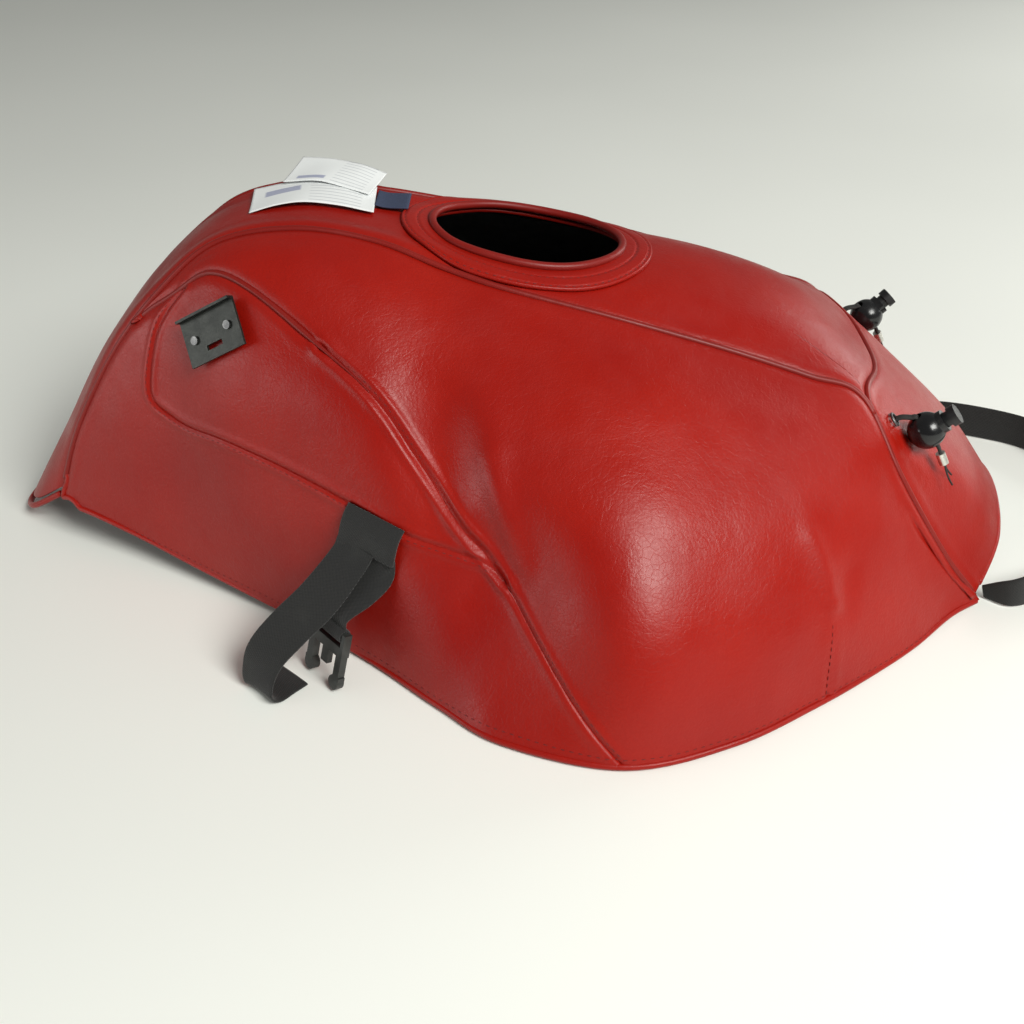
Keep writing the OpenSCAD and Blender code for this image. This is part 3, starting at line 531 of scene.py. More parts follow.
class Piece:
    """Turns a bmesh into a finished piece of the cover."""

    @staticmethod
    def grid(columns: int, rows: int, place: Mapper, flip: bool = False, merge: float = 0.0,
             uv_size: tuple[float, float] = (1.0, 1.0)) -> bmesh.types.BMesh:
        """A grid moved onto a surface.

        Args:
            columns: faces along s.
            rows: faces along t.
            place: takes arrays s and t from 0 to 1 and returns points in mm.
            flip: turns the faces round.
            merge: distance in mm under which points are joined, for a closed tube or ring.
            uv_size: the UV map's size along s and t.

        Returns:
            The mesh, in metres.
        """
        bm = bmesh.new()
        uv = bm.loops.layers.uv.new("UVMap")
        bmesh.ops.create_grid(bm, x_segments=columns, y_segments=rows, size=1.0)
        bm.verts.ensure_lookup_table()
        co = np.array([v.co[:] for v in bm.verts])
        s, t = (co[:, 0] + 1) / 2, (co[:, 1] + 1) / 2
        for face in bm.faces:
            for loop in face.loops:
                k = loop.vert.index
                loop[uv].uv = (s[k] * uv_size[0], t[k] * uv_size[1])
        points = place(s, t) * MM
        for vert, p in zip(bm.verts, points):
            vert.co = p
        if flip:
            bmesh.ops.reverse_faces(bm, faces=bm.faces)
        if merge:
            bmesh.ops.remove_doubles(bm, verts=bm.verts, dist=merge * MM)
        return bm

    @staticmethod
    def tube(points: Array, ups: Array, radius: float | Array, sides: int = 10,
             closed: bool = False) -> bmesh.types.BMesh:
        """A round tube along points in mm, with ups the directions that stay up."""
        n = len(points)
        if closed:
            step = np.roll(points, -1, axis=0) - np.roll(points, 1, axis=0)
            ring = np.vstack([points, points[:1]])
            ups = np.vstack([ups, ups[:1]])
            step = np.vstack([step, step[:1]])
            n += 1
        else:
            step = np.gradient(points, axis=0)
            ring = points
        t = step / np.linalg.norm(step, axis=1, keepdims=True)
        b = np.cross(t, ups)
        b /= np.linalg.norm(b, axis=1, keepdims=True)
        c = np.cross(b, t)
        r = np.broadcast_to(radius, n)

        def place(s: Array, w: Array) -> Array:
            """The tube's wall at length s and turn w."""
            k = np.rint(s * (n - 1)).astype(int)
            a = 2 * math.pi * w
            return ring[k] + r[k, None] * (np.cos(a)[:, None] * c[k] + np.sin(a)[:, None] * b[k])

        bm = Piece.grid(n - 1, sides, place, merge=0.001, uv_size=(float(n), 1.0))
        if not closed:
            bmesh.ops.holes_fill(bm, edges=[e for e in bm.edges if e.is_boundary], sides=0)
        bmesh.ops.recalc_face_normals(bm, faces=bm.faces)
        return bm

    @staticmethod
    def finish(name: str, bm: bmesh.types.BMesh, material: bpy.types.Material, body: str, slot: str,
               replaces: Sequence[str] = (), thickness: float = 0.0, offset: float = -1.0,
               smooth: int = 0) -> bpy.types.Object:
        """Makes the object, gives it its finish and ties it to its body.

        Args:
            name: the piece's name.
            bm: its mesh, which is freed.
            material: its finish.
            body: the body that it rides on.
            slot: the name of its material slot; not used.
            replaces: the frame's nodes that it stands for.
            thickness: wall thickness in mm, or 0 for a solid.
            offset: the side on which the wall grows.
            smooth: levels of subdivision.

        Returns:
            The object.
        """
        mesh = bpy.data.meshes.new(name)
        for face in bm.faces:
            face.smooth = True
        bm.to_mesh(mesh)
        bm.free()
        obj = bpy.data.objects.new(name, mesh)
        bpy.context.scene.collection.objects.link(obj)
        mesh.materials.append(material)
        if thickness:
            wall = obj.modifiers.new("wall", "SOLIDIFY")
            wall.thickness = thickness * MM
            wall.offset = offset
            wall.use_even_offset = False
        if smooth:
            sub = obj.modifiers.new("smooth", "SUBSURF")
            sub.levels = sub.render_levels = smooth
        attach(obj, body)
        if replaces:
            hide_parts(*replaces)
        LOG.info("%s: %d faces on %s", name, len(mesh.polygons), body)
        return obj

    @staticmethod
    def area(obj: bpy.types.Object) -> float:
        """The area of one side of a piece in square metres."""
        return sum(p.area for p in obj.data.polygons)


def declare_sheet(obj: bpy.types.Object, size: tuple[float, float],
                  faces: int = 1) -> None:
    """Works out a piece's flat cut of cloth, grown to hold its area, and logs it.

    Args:
        obj: the piece.
        size: width and length of the cut in mm.
        faces: 2 for a closed strip, whose area counts twice.
    """
    flat = (size[0] * MM, size[1] * MM)
    area = Piece.area(obj) / faces
    room = flat[0] * flat[1]
    if area > room:
        grow = math.sqrt(area / room) * 1.005
        flat = (flat[0] * grow, flat[1] * grow)
        room = flat[0] * flat[1]
    LOG.info("%s: cut %.0f x %.0f mm, %.4f m2", obj.name, flat[0] / MM, flat[1] / MM, area)
    min(max(area, 0.3 * room), room)


# ---------------------------------------------------------------- relief


@dataclass(frozen=True)
class Fold:
    """A soft swell or dent along a line between two points in mm."""

    start: tuple[float, float, float]
    end: tuple[float, float, float]
    height: float
    width: float
    both_sides: bool = True


@dataclass
class Relief:
    """The small swells, dips and seam valleys of fitted leatherette."""

    seed: int = 11
    folds: tuple[Fold, ...] = (
        # the swell over the seam cross, on each side panel
        Fold((-44, 152, 130), (-27, 181, 84), 3.2, 8.5),
        Fold((-52, 120, 158), (-44, 152, 130), 1.6, 13.0),
        Fold((-22, 188, 66), (4, 205, 44), -1.6, 8.0),
        Fold((-60, 176, 92), (-32, 186, 76), -1.2, 5.0),
        Fold((-12, 180, 88), (10, 176, 100), -1.3, 10.0),
        # the pinch over the dart
        Fold((143, 172, 52), (128, 158, 84), 3.4, 6.0),
        Fold((128, 158, 84), (122, 138, 116), 1.2, 12.0),
        Fold((151, 170, 50), (160, 156, 76), -1.8, 9.0),
        Fold((133, 180, 40), (120, 186, 30), -1.4, 8.0),
        # slack in the skirt
        Fold((-40, 205, 22), (20, 226, 18), 1.2, 14.0),
        Fold((40, 232, 30), (100, 214, 20), 1.3, 16.0),
        Fold((-170, 128, 34), (-120, 150, 22), 1.2, 14.0),
        Fold((-250, 92, 44), (-200, 112, 30), 0.9, 16.0),
        # front corner
        Fold((190, 122, 62), (216, 118, 34), 0.6, 12.0),
    )
    piped: list[Array] = field(default_factory=list)
    sewn: list[Array] = field(default_factory=list)
    soft: list[Array] = field(default_factory=list)

    def __post_init__(self) -> None:
        """Draws the seams on both sides and the slow waves."""
        rng = np.random.default_rng(self.seed)
        self.waves = [(rng.normal(size=3) / rng.uniform(16, 60), rng.uniform(0, 6.28), rng.uniform(0.1, 0.28))
                      for _ in range(14)]
        for side in (-1, 1):
            turn = np.array([1, side, 1])

            def line(keys: Sequence, n: int, lo: float = 0.0, hi: float | None = None) -> Array:
                """Points along seam keys on this side."""
                end = len(keys) - 1 if hi is None else hi
                q = SHAPE.along(keys, np.linspace(lo, end, n))
                return SHAPE.skin(q) * turn

            self.piped.append(line([(u, 2) for u in np.linspace(0.0, 12.3, 26)], 260))
            self.piped.append(line(ARCH_SEAM, 130, 0, 4.9))
            self.soft.append(line(ARCH_SEAM, 110, 4.9))
            self.piped.append(line(NECK_SEAM, 200))
            self.sewn.append(line(KNEE_SEAM, 260, 0.2))
            self.sewn.append(line(SKIRT_SEAM, 80))
            self.sewn.append(line(DART, 40))

    @staticmethod
    def reach(points: Array, line: Array) -> Array:
        """Distances in mm from points to a line of points."""
        best = np.full(len(points), 1e9)
        for k in range(0, len(points), 4000):
            d = points[k:k + 4000, None, :] - line[None, :, :]
            best[k:k + 4000] = np.sqrt((d * d).sum(2).min(1))
        return best

    def lift(self, p: Array) -> Array:
        """How far each point in mm is raised."""
        d = np.zeros(len(p))
        for k, phase, size in self.waves:
            d += size * np.sin(p @ k + phase)
        beside = p[:, 1] > 0
        # deep, valley width, swell, its distance and width; lines of a kind share one valley where they meet
        for lines, profile in ((self.piped, (1.1, 2.6, 0.35, 7.0, 3.5)), (self.sewn, (1.2, 1.5, 0.65, 3.6, 2.2)),
                               (self.soft, (1.2, 1.9, 1.3, 4.6, 2.4))):
            r = np.full(len(p), 1e9)
            for line in lines:
                near = beside == (line[:, 1].mean() > 0)
                r[near] = np.minimum(r[near], self.reach(p[near], line))
            deep, wide, swell, away, spread = profile
            d += -deep * np.exp(-(r / wide) ** 2) + swell * np.exp(-((r - away) / spread) ** 2)
        for fold in self.folds:
            for side in ((1, -1) if fold.both_sides else (1,)):
                a = np.array(fold.start) * (1, side, 1)
                b = np.array(fold.end) * (1, side, 1)
                ab = b - a
                t = np.clip((p - a) @ ab / (ab @ ab), 0, 1)
                r = np.linalg.norm(p - a - t[:, None] * ab, axis=1)
                ease = 1.0 if side == -1 else 0.8
                along = 0.45 + 0.55 * np.sin(math.pi * np.clip(t, 0.08, 0.92))
                d += ease * fold.height * np.exp(-(r / fold.width) ** 2) * along
        return d


# ---------------------------------------------------------------- sewn cover


@dataclass
class SewnCover:
    """The leatherette panels with their seams, hems, filler ring and lining; sizes in mm."""

    panel_t: float = 2.0
    piping_d: float = 4.0
    hem_d: float = 4.0
    filler_l: float = 115.0
    filler_w: float = 90.0
    ring_band: float = 18.0
    ring_t: float = 2.4
    lip_d: float = 5.0
    lining_t: float = 1.2
    lining_drop: float = 3.6
    hole_x: float = -26.0
    stitch_l: float = 2.6
    relief: Relief = field(default_factory=Relief)
    leather: bpy.types.Material = field(default=None)
    piping: bpy.types.Material = field(default=None)
    lining: bpy.types.Material = field(default=None)
    thread: bpy.types.Material = field(default=None)

    def dress(self) -> None:
        """Makes the finishes."""
        self.leather = LeatherFinish().make()
        self.piping = LeatherFinish("dark_red_piping", (0.17, 0.006, 0.004, 1), (0.24, 0.010, 0.006, 1), 0.0012,
                                    0.00008, 0.4, 0.08).make()
        self.lining = ClothFinish().make()
        self.thread = ClothFinish("seam_thread", (0.20, 0.008, 0.006, 1), (0.10, 0.004, 0.003, 1), 0.75, 0.0003).make()

    def surface(self, q: Array, side: int, base: float = 1.0) -> Array:
        """The outer face of the leatherette over [station, line] pairs.

        Args:
            q: the pairs, for the left half unless a line is negative.
            side: -1 to turn the result to the right side.
            base: height of the face over the sewn form.

        Returns:
            Points in mm.
        """
        turn = np.array([1, side, 1])
        # the leatherette lies close in the tight hollow behind each front corner
        tuck = 0.97 * np.exp(-((np.abs(q[:, 1]) - 2.78) / 0.32) ** 2) * np.clip((q[:, 0] - 12.9) / 0.4, 0, 1)
        p = SHAPE.skin(q, base * (1 - tuck)) * turn
        n = SHAPE.out(q[:, 0], q[:, 1]) * turn
        return p + n * (self.relief.lift(p) * (1 - tuck))[:, None]

    def pair_panel(self, name: str, a: Edge, b: Edge, columns: int, rows: int, side: Side, replaces: Sequence[str],
                   size: tuple[float, float], low: float = 0.0, high: float = 6.0) -> bpy.types.Object:
        """A panel between two matching edges.

        Args:
            name: the piece's name.
            a: its first edge.
            b: its second edge.
            columns: faces along the seams.
            rows: faces across.
            side: the side that it is on.
            replaces: nodes of the frame that it stands for.
            size: the flat cut in mm.
            low: least line that it may reach.
            high: greatest line that it may reach.

        Returns:
            The piece.
        """

        def place(s: Array, t: Array) -> Array:
            """Points of the panel."""
            qa, qb = a.at(s), b.at(s)
            t = t - 0.7 * np.sin(2 * math.pi * t) / (2 * math.pi)
            q = qa + t[:, None] * (qb - qa)
            q[:, 1] = np.clip(q[:, 1], low, high)
            return self.surface(q, side.value)

        bm = Piece.grid(columns, rows, place, uv_size=(size[1] * MM, size[0] * MM))
        self.face_outward(bm)
        obj = Piece.finish(name, bm, self.leather, "cover", "red_leatherette", replaces, self.panel_t, -1)
        declare_sheet(obj, size)
        return obj

    @staticmethod
    def face_outward(bm: bmesh.types.BMesh) -> None:
        """Turns an open panel's faces away from the inside of the cover."""
        middle = Vector((-0.02, 0.0, 0.02))
        bm.normal_update()
        total = sum((f.calc_center_median() - middle).dot(f.normal) * f.calc_area() for f in bm.faces)
        if total < 0:
            bmesh.ops.reverse_faces(bm, faces=bm.faces)

    @staticmethod
    def neck_line(v: Array) -> Array:
        """Station of the neck seam at a line."""
        return np.interp(np.abs(v), [0, 1.4, 1.7, 1.86, 1.95, 2.0], [12, 12, 12.04, 12.1, 12.2, 12.3])

    def edge(self, count: int) -> Array:
        """The centre panel's outline as [station, line] pairs, from the middle of the neck round by the left."""
        front = np.array([(self.neck_line(np.array([v]))[0], v) for v in np.linspace(0, 2, 60)])
        side = np.array([(u, 2.0) for u in np.linspace(12.3, 0.12, 300)[1:]])
        tail = np.array([(0.12, v) for v in np.linspace(2, 0, 30)[1:]])
        path = np.vstack([front, side, tail])
        p = SHAPE.skin(path)
        run = np.concatenate([[0], np.cumsum(np.linalg.norm(np.diff(p, axis=0), axis=1))])
        at = np.linspace(0, run[-1], count // 2 + 1)
        left = np.column_stack([np.interp(at, run, path[:, 0]), np.interp(at, run, path[:, 1])])
        right = left[1:-1][::-1] * (1, -1)
        return np.vstack([left, right])

    def oval(self, angles: Array, length: float, width: float) -> Array:
        """[station, line] pairs over an oval round the filler opening, of half sizes length and width."""
        return SHAPE.find(self.hole_x + length * np.cos(angles), width * np.sin(angles) + 1e-6)

    def centre(self) -> bpy.types.Object:
        """The centre panel, in rings from the filler opening that close up towards its seams."""
        count, rings = 520, 64
        edge = self.edge(count)
        ang = np.arctan2(edge[:, 1] * 32, (edge[:, 0] - 8.13) * 48)
        hole = self.oval(ang, self.filler_l / 2 + 1, self.filler_w / 2 + 1)

        def place(s: Array, t: Array) -> Array:
            """Points of the rings."""
            k = np.rint(s * count).astype(int) % count
            q = hole[k] + (edge[k] - hole[k]) * (1 - (1 - t[:, None]) ** 1.6)
            return self.surface(q, 1)

        bm = Piece.grid(count, rings, place, merge=0.001, uv_size=(1.2, 0.25))
        self.face_outward(bm)
        obj = Piece.finish("centre_leather", bm, self.leather, "cover", "red_leatherette", ("centre_panel",),
                           self.panel_t, -1)
        declare_sheet(obj, (180, 680))
        return obj

    def front(self) -> bpy.types.Object:
        """The panel in front of the neck seam."""

        def place(s: Array, t: Array) -> Array:
            """Points between the neck seam and the front hem."""
            v = 2.0 * np.sin((t - 0.5) * math.pi)
            start = self.neck_line(v)
            return self.surface(np.column_stack([start + (15.0 - start) * s ** 1.3, v]), 1)

        bm = Piece.grid(90, 150, place, uv_size=(0.18, 0.24))
        self.face_outward(bm)
        obj = Piece.finish("front_leather", bm, self.leather, "cover", "red_leatherette", ("front_panel",),
                           self.panel_t, -1)
        declare_sheet(obj, (225, 175))
        return obj

    def bead(self, name: str, q: Array, radius: float, side: int, material: bpy.types.Material, slot: str,
             replaces: Sequence[str], lift: float = 0.0, sides: int = 12) -> bpy.types.Object:
        """A round bead laid over [station, line] pairs."""
        turn = np.array([1, side, 1])
        points = SHAPE.skin(q, lift) * turn
        ups = SHAPE.out(q[:, 0], q[:, 1]) * turn
        bm = Piece.tube(points, ups, radius, sides)
        return Piece.finish(name, bm, material, "cover", slot, replaces)

    def seams(self, side: Side) -> None:
        """The piping and hems of one side."""
        w, s = side.word, side.value
        r = self.piping_d / 2
        crown = np.column_stack([np.linspace(0.25, 12.28, 240), np.full(240, 2.0)])
        self.bead(f"{w}_crown_bead", crown, r, s, self.piping, "dark_red_piping", (f"{w}_crown_piping",), 0.2)
        arch = SHAPE.along(ARCH_SEAM, np.linspace(0.2, 6.0, 170))
        taper = r * np.clip((6.0 - np.linspace(0.2, 6.0, 170)) / 1.6, 0.25, 1.0)
        self.bead(f"{w}_arch_bead", arch, taper * 0.9, s, self.piping, "dark_red_piping", (f"{w}_arch_piping",), 0.0)
        corner = SHAPE.along([(0.3, 2), (0.04, 4), (0.6, 6)], np.linspace(0.03, 1.94, 60))
        hem = np.vstack([corner, np.column_stack([np.linspace(0.64, 14.9, 420), np.full(420, 6.0)])])
        self.bead(f"{w}_hem_roll", hem, self.hem_d / 2 - 0.1, s, self.leather, "red_leatherette", (f"{w}_hem",), 0.0)

    def ends(self) -> None:
        """The neck piping and the short hems at the tail and front."""
        n = 120
        left = SHAPE.along(NECK_SEAM, np.linspace(0, len(NECK_SEAM) - 1, n))
        path = np.vstack([left, left[-2::-1] * (1, -1)])
        self.bead("neck_bead", path, self.piping_d / 2, 1, self.piping, "dark_red_piping", ("neck_piping",), 0.2)
        front = np.column_stack([np.full(90, 15.0), np.linspace(-1.75, 1.75, 90)])
        self.bead("front_hem_roll", front, self.hem_d / 2, 1, self.leather, "red_leatherette", ("front_hem",))
        tail = np.column_stack([np.full(50, 0.02), np.linspace(-1.9, 1.9, 50)])
        self.bead("tail_hem_roll", tail, self.hem_d / 2, 1, self.leather, "red_leatherette", ("tail_hem",))

    def filler(self) -> None:
        """The flat ring round the filler opening and its rolled lip."""
        count = 200
        ang = np.linspace(0, 2 * math.pi, count, endpoint=False)
        base, gap = 1.1, self.lip_d / 2 + 0.4
        across = 26
        levels = [self.oval(ang, self.filler_l / 2 + gap + g, self.filler_w / 2 + gap + g)
                  for g in np.linspace(-1.6, self.ring_band - gap, across + 1)]

        def place(s: Array, t: Array) -> Array:
            """Points of the ring's upper face."""
            k = np.rint(s * count).astype(int) % count
            j = np.rint(t * across).astype(int)
            q = np.array([levels[b][a] for a, b in zip(k, j)])
            edge = self.ring_t * (1 - 0.75 * np.clip((t - 0.93) / 0.07, 0, 1) ** 2)
            groove = -0.8 * np.exp(-((t - 0.42) / 0.045) ** 2) - 0.7 * np.exp(-((t - 0.86) / 0.035) ** 2)
            puff = 0.5 * np.sin(math.pi * np.clip(t, 0, 1))
            rise = base * 0.6 + edge + groove + puff - 0.6
            return self.surface(q, 1, 1.0) + SHAPE.out(q[:, 0], q[:, 1]) * rise[:, None]

        bm = Piece.grid(count, across, place, merge=0.001, uv_size=(0.4, 0.018))
        self.face_outward(bm)
        obj = Piece.finish("filler_band", bm, self.leather, "cover", "red_leatherette", ("filler_ring",), 1.6, -1)
        declare_sheet(obj, (136, 161))
        path = self.oval(ang, self.filler_l / 2 - 0.5, self.filler_w / 2 - 0.5)
        points = SHAPE.skin(path, 1.0 + self.lip_d / 2 + 0.4)
        lip = Piece.tube(points, np.tile([0.0, 0, 1], (count, 1)), self.lip_d / 2, 14, closed=True)
        Piece.finish("filler_lip_roll", lip, self.piping, "cover", "dark_red_piping", ("filler_lip",))
        for name, t in (("inner", 0.42), ("outer", 0.86)):
            j = int(round(t * across))
            q = levels[j]
            pts = self.surface(q, 1, 1.0) + SHAPE.out(q[:, 0], q[:, 1]) * 2.0
            self.stitches(f"ring_{name}_stitches", np.vstack([pts, pts[:1]]),
                          np.vstack([SHAPE.out(q[:, 0], q[:, 1])] * 1 + [SHAPE.out(q[:1, 0], q[:1, 1])]), 4.6)

    def stitches(self, name: str, points: Array, ups: Array, pitch: float, radius: float = 0.45,
                 body: str = "cover", slot: str = "dark_red_piping",
                 material: bpy.types.Material | None = None) -> bpy.types.Object:
        """A row of thread stitches along a line of points in mm."""
        run = np.concatenate([[0], np.cumsum(np.linalg.norm(np.diff(points, axis=0), axis=1))])
        bm = bmesh.new()
        for k in range(int(run[-1] / pitch)):
            at = (k + 0.5) * pitch
            c = np.array([np.interp(at, run, points[:, i]) for i in range(3)])
            e = np.array([np.interp(at + 0.6, run, points[:, i]) for i in range(3)])
            up = np.array([np.interp(at, run, ups[:, i]) for i in range(3)])
            x = Vector(e - c).normalized()
            y = Vector(up).cross(x).normalized()
            z = x.cross(y)
            turn = Matrix((x, y, z)).transposed().to_4x4()
            turn.translation = Vector(c * MM)
            size = Matrix.Diagonal((self.stitch_l / 2 * MM, radius * MM, radius * MM, 1))
            bmesh.ops.create_uvsphere(bm, u_segments=6, v_segments=4, radius=1.0,
                                      matrix=turn @ size @ Matrix.Rotation(math.pi / 2, 4, "Y"))
        return Piece.finish(name, bm, material or self.thread, body, slot)

    def seam_stitches(self, side: Side) -> None:
        """The visible thread of one side's lapped seams and hem."""
        turn = np.array([1, side.value, 1])
        rows = (("knee", KNEE_SEAM, 0.3, 10.8, -2.4), ("skirt", SKIRT_SEAM, 0.05, 1.95, 2.6),
                ("dart", DART, 0.04, 0.96, 2.4), ("arch", ARCH_SEAM, 5.4, 9.8, 2.2))
        for name, keys, lo, hi, off in rows:
            q = SHAPE.along(keys, np.linspace(lo, hi, 160))
            ups = SHAPE.out(q[:, 0], q[:, 1]) * turn
            p = SHAPE.skin(q) * turn
            step = np.gradient(p, axis=0)
            across = np.cross(step, ups)
            across /= np.linalg.norm(across, axis=1, keepdims=True)
            line = p + across * off * side.value
            raised = line + ups * (0.95 + self.relief.lift(line))[:, None]
            self.stitches(f"{side.word}_{name}_stitches", raised, ups, 4.2, 0.32)
        q = SHAPE.along([(u, 5.93) for u in np.arange(0.5, 14.8, 0.5)], np.linspace(0, 28, 500))
        ups = SHAPE.out(q[:, 0], q[:, 1]) * turn
        p = self.surface(q, side.value)
        self.stitches(f"{side.word}_hem_stitches", p, ups, 4.8, 0.3)

    def linings(self) -> None:
        """The cloth inside the panels."""
        for side in Side:
            a = [(u, 2.08 if u < 10 else 2.9) for u in np.arange(1.4, 13.5, 1)]
            b = [(u, 5.9) for u in np.arange(1.4, 13.5, 1)]
            self.cloth(f"{side.word}_lining_cloth", a, b, 90, 30, side.value, (f"{side.word}_lining",), (300, 620))
        tail = [(u, 1.9) for u in np.arange(0.2, 6.3, 1)]
        self.cloth("rear_lining_cloth", [(u, -v) for u, v in tail], tail, 60, 24, 1, ("rear_lining",), (110, 280))
        nose = [(u, 1.9 if u < 12 else 1.5) for u in np.arange(9.8, 14.5, 1)]
        self.cloth("front_lining_cloth", [(u, -v) for u, v in nose], nose, 60, 30, 1, ("front_lining",), (200, 270))

    def cloth(self, name: str, a: Sequence, b: Sequence, columns: int, rows: int, side: int, replaces: Sequence[str],
              size: tuple[float, float]) -> bpy.types.Object:
        """A piece of lining between two rows of keys."""

        def place(s: Array, t: Array) -> Array:
            """Points of the lining."""
            qa, qb = SHAPE.along(a, s * (len(a) - 1)), SHAPE.along(b, s * (len(b) - 1))
            q = qa + t[:, None] * (qb - qa)
            drop = self.lining_drop * (1 + 1.2 * np.clip(q[:, 0] - 11, 0, 1))
            return SHAPE.skin(q, -drop) * (1, side, 1)

        bm = Piece.grid(columns, rows, place)
        self.face_outward(bm)
        obj = Piece.finish(name, bm, self.lining, "cover", "lining", replaces, self.lining_t, -1)
        declare_sheet(obj, size)
        return obj

    def build(self) -> None:
        """Builds the whole cover."""
        self.dress()
        for side in Side:
            w = side.word
            self.pair_panel(f"{w}_side_leather", SIDE_TOP, SIDE_LOW, 234, 90, side, (f"{w}_side_panel",),
                            (300, 640), 2, 6)
            self.pair_panel(f"{w}_knee_leather", KNEE_TOP, KNEE_LOW, 132, 50, side, (f"{w}_knee_panel",), (120, 270))
            self.pair_panel(f"{w}_skirt_leather", REAR_IN, REAR_OUT, 224, 60, side, (f"{w}_rear_skirt",),
                            (230, 470), 2, 6)
            self.seams(side)
            self.seam_stitches(side)
        self.centre()
        self.front()
        self.ends()
        self.filler()
        self.linings()


# ---------------------------------------------------------------- straps


@dataclass
class Webbing:
    """Draws strips of webbing; sizes in mm."""

    width: float = 25.0
    thick: float = 1.6

    @staticmethod
    def frames(sections: Sequence, count: int) -> tuple[Array, Array, Array]:
        """Centres, width directions and face directions along sections of [centre, width direction]."""
        c = np.array([s[0] for s in sections], float)
        g = np.array([s[1] for s in sections], float)
        g /= np.linalg.norm(g, axis=1, keepdims=True)
        last = len(c) - 1
        s = np.linspace(0, last, count)
        p, u = SHAPE.along(c, s), SHAPE.along(g, s)
        f = SHAPE.along(c, np.minimum(last, s + 0.05)) - SHAPE.along(c, np.maximum(0, s - 0.05))
        f /= np.linalg.norm(f, axis=1, keepdims=True)
        h = np.cross(f, u)
        h /= np.linalg.norm(h, axis=1, keepdims=True)
        e = np.cross(h, f)
        return p, e, h

    def ribbon(self, sections: Sequence, count: int, width: float | Array | None = None, thick: float | None = None,
               cup: float = 0.0) -> bmesh.types.BMesh:
        """A closed strip with rounded edges.

        Args:
            sections: [centre, width direction] pairs.
            count: sections to draw.
            width: its width, or one for each section.
            thick: its thickness.
            cup: how far its middle rises over its edges.

        Returns:
            The mesh.
        """
        p, e, h = self.frames(sections, count)
        w = np.broadcast_to(self.width if width is None else width, count)
        t = self.thick if thick is None else thick
        flat, nose = 10, 4
        x = np.concatenate([np.linspace(-1, 1, flat + 1), np.ones(nose - 1),
                            np.linspace(1, -1, flat + 1), -np.ones(nose - 1)])
        a = np.concatenate([np.full(flat + 1, math.pi / 2), np.linspace(math.pi / 2, -math.pi / 2, nose + 1)[1:-1],
                            np.full(flat + 1, -math.pi / 2), np.linspace(-math.pi / 2, -1.5 * math.pi, nose + 1)[1:-1]])
        around = len(x)
        run = np.concatenate([[0], np.cumsum(np.linalg.norm(np.diff(p, axis=0), axis=1))])

        def place(s: Array, v: Array) -> Array:
            """Points of the strip's wall."""
            k = np.rint(s * (count - 1)).astype(int)
            j = np.rint(v * around).astype(int) % around
            out = x[j] * (w[k] / 2 - t / 2) + np.cos(a[j]) * t / 2 * np.where(np.abs(x[j]) == 1, 1, 0)
            up = np.sin(a[j]) * t / 2 + cup * (1 - x[j] ** 2)
            return p[k] + e[k] * out[:, None] + h[k] * up[:, None]

        length = run[-1] * MM
        girth = 2 * (float(w.mean()) + t) * MM
        bm = Piece.grid(count - 1, around, place, merge=0.0001, uv_size=(length, girth))
        bmesh.ops.holes_fill(bm, edges=[edge for edge in bm.edges if edge.is_boundary], sides=0)
        bmesh.ops.recalc_face_normals(bm, faces=bm.faces)
        return bm


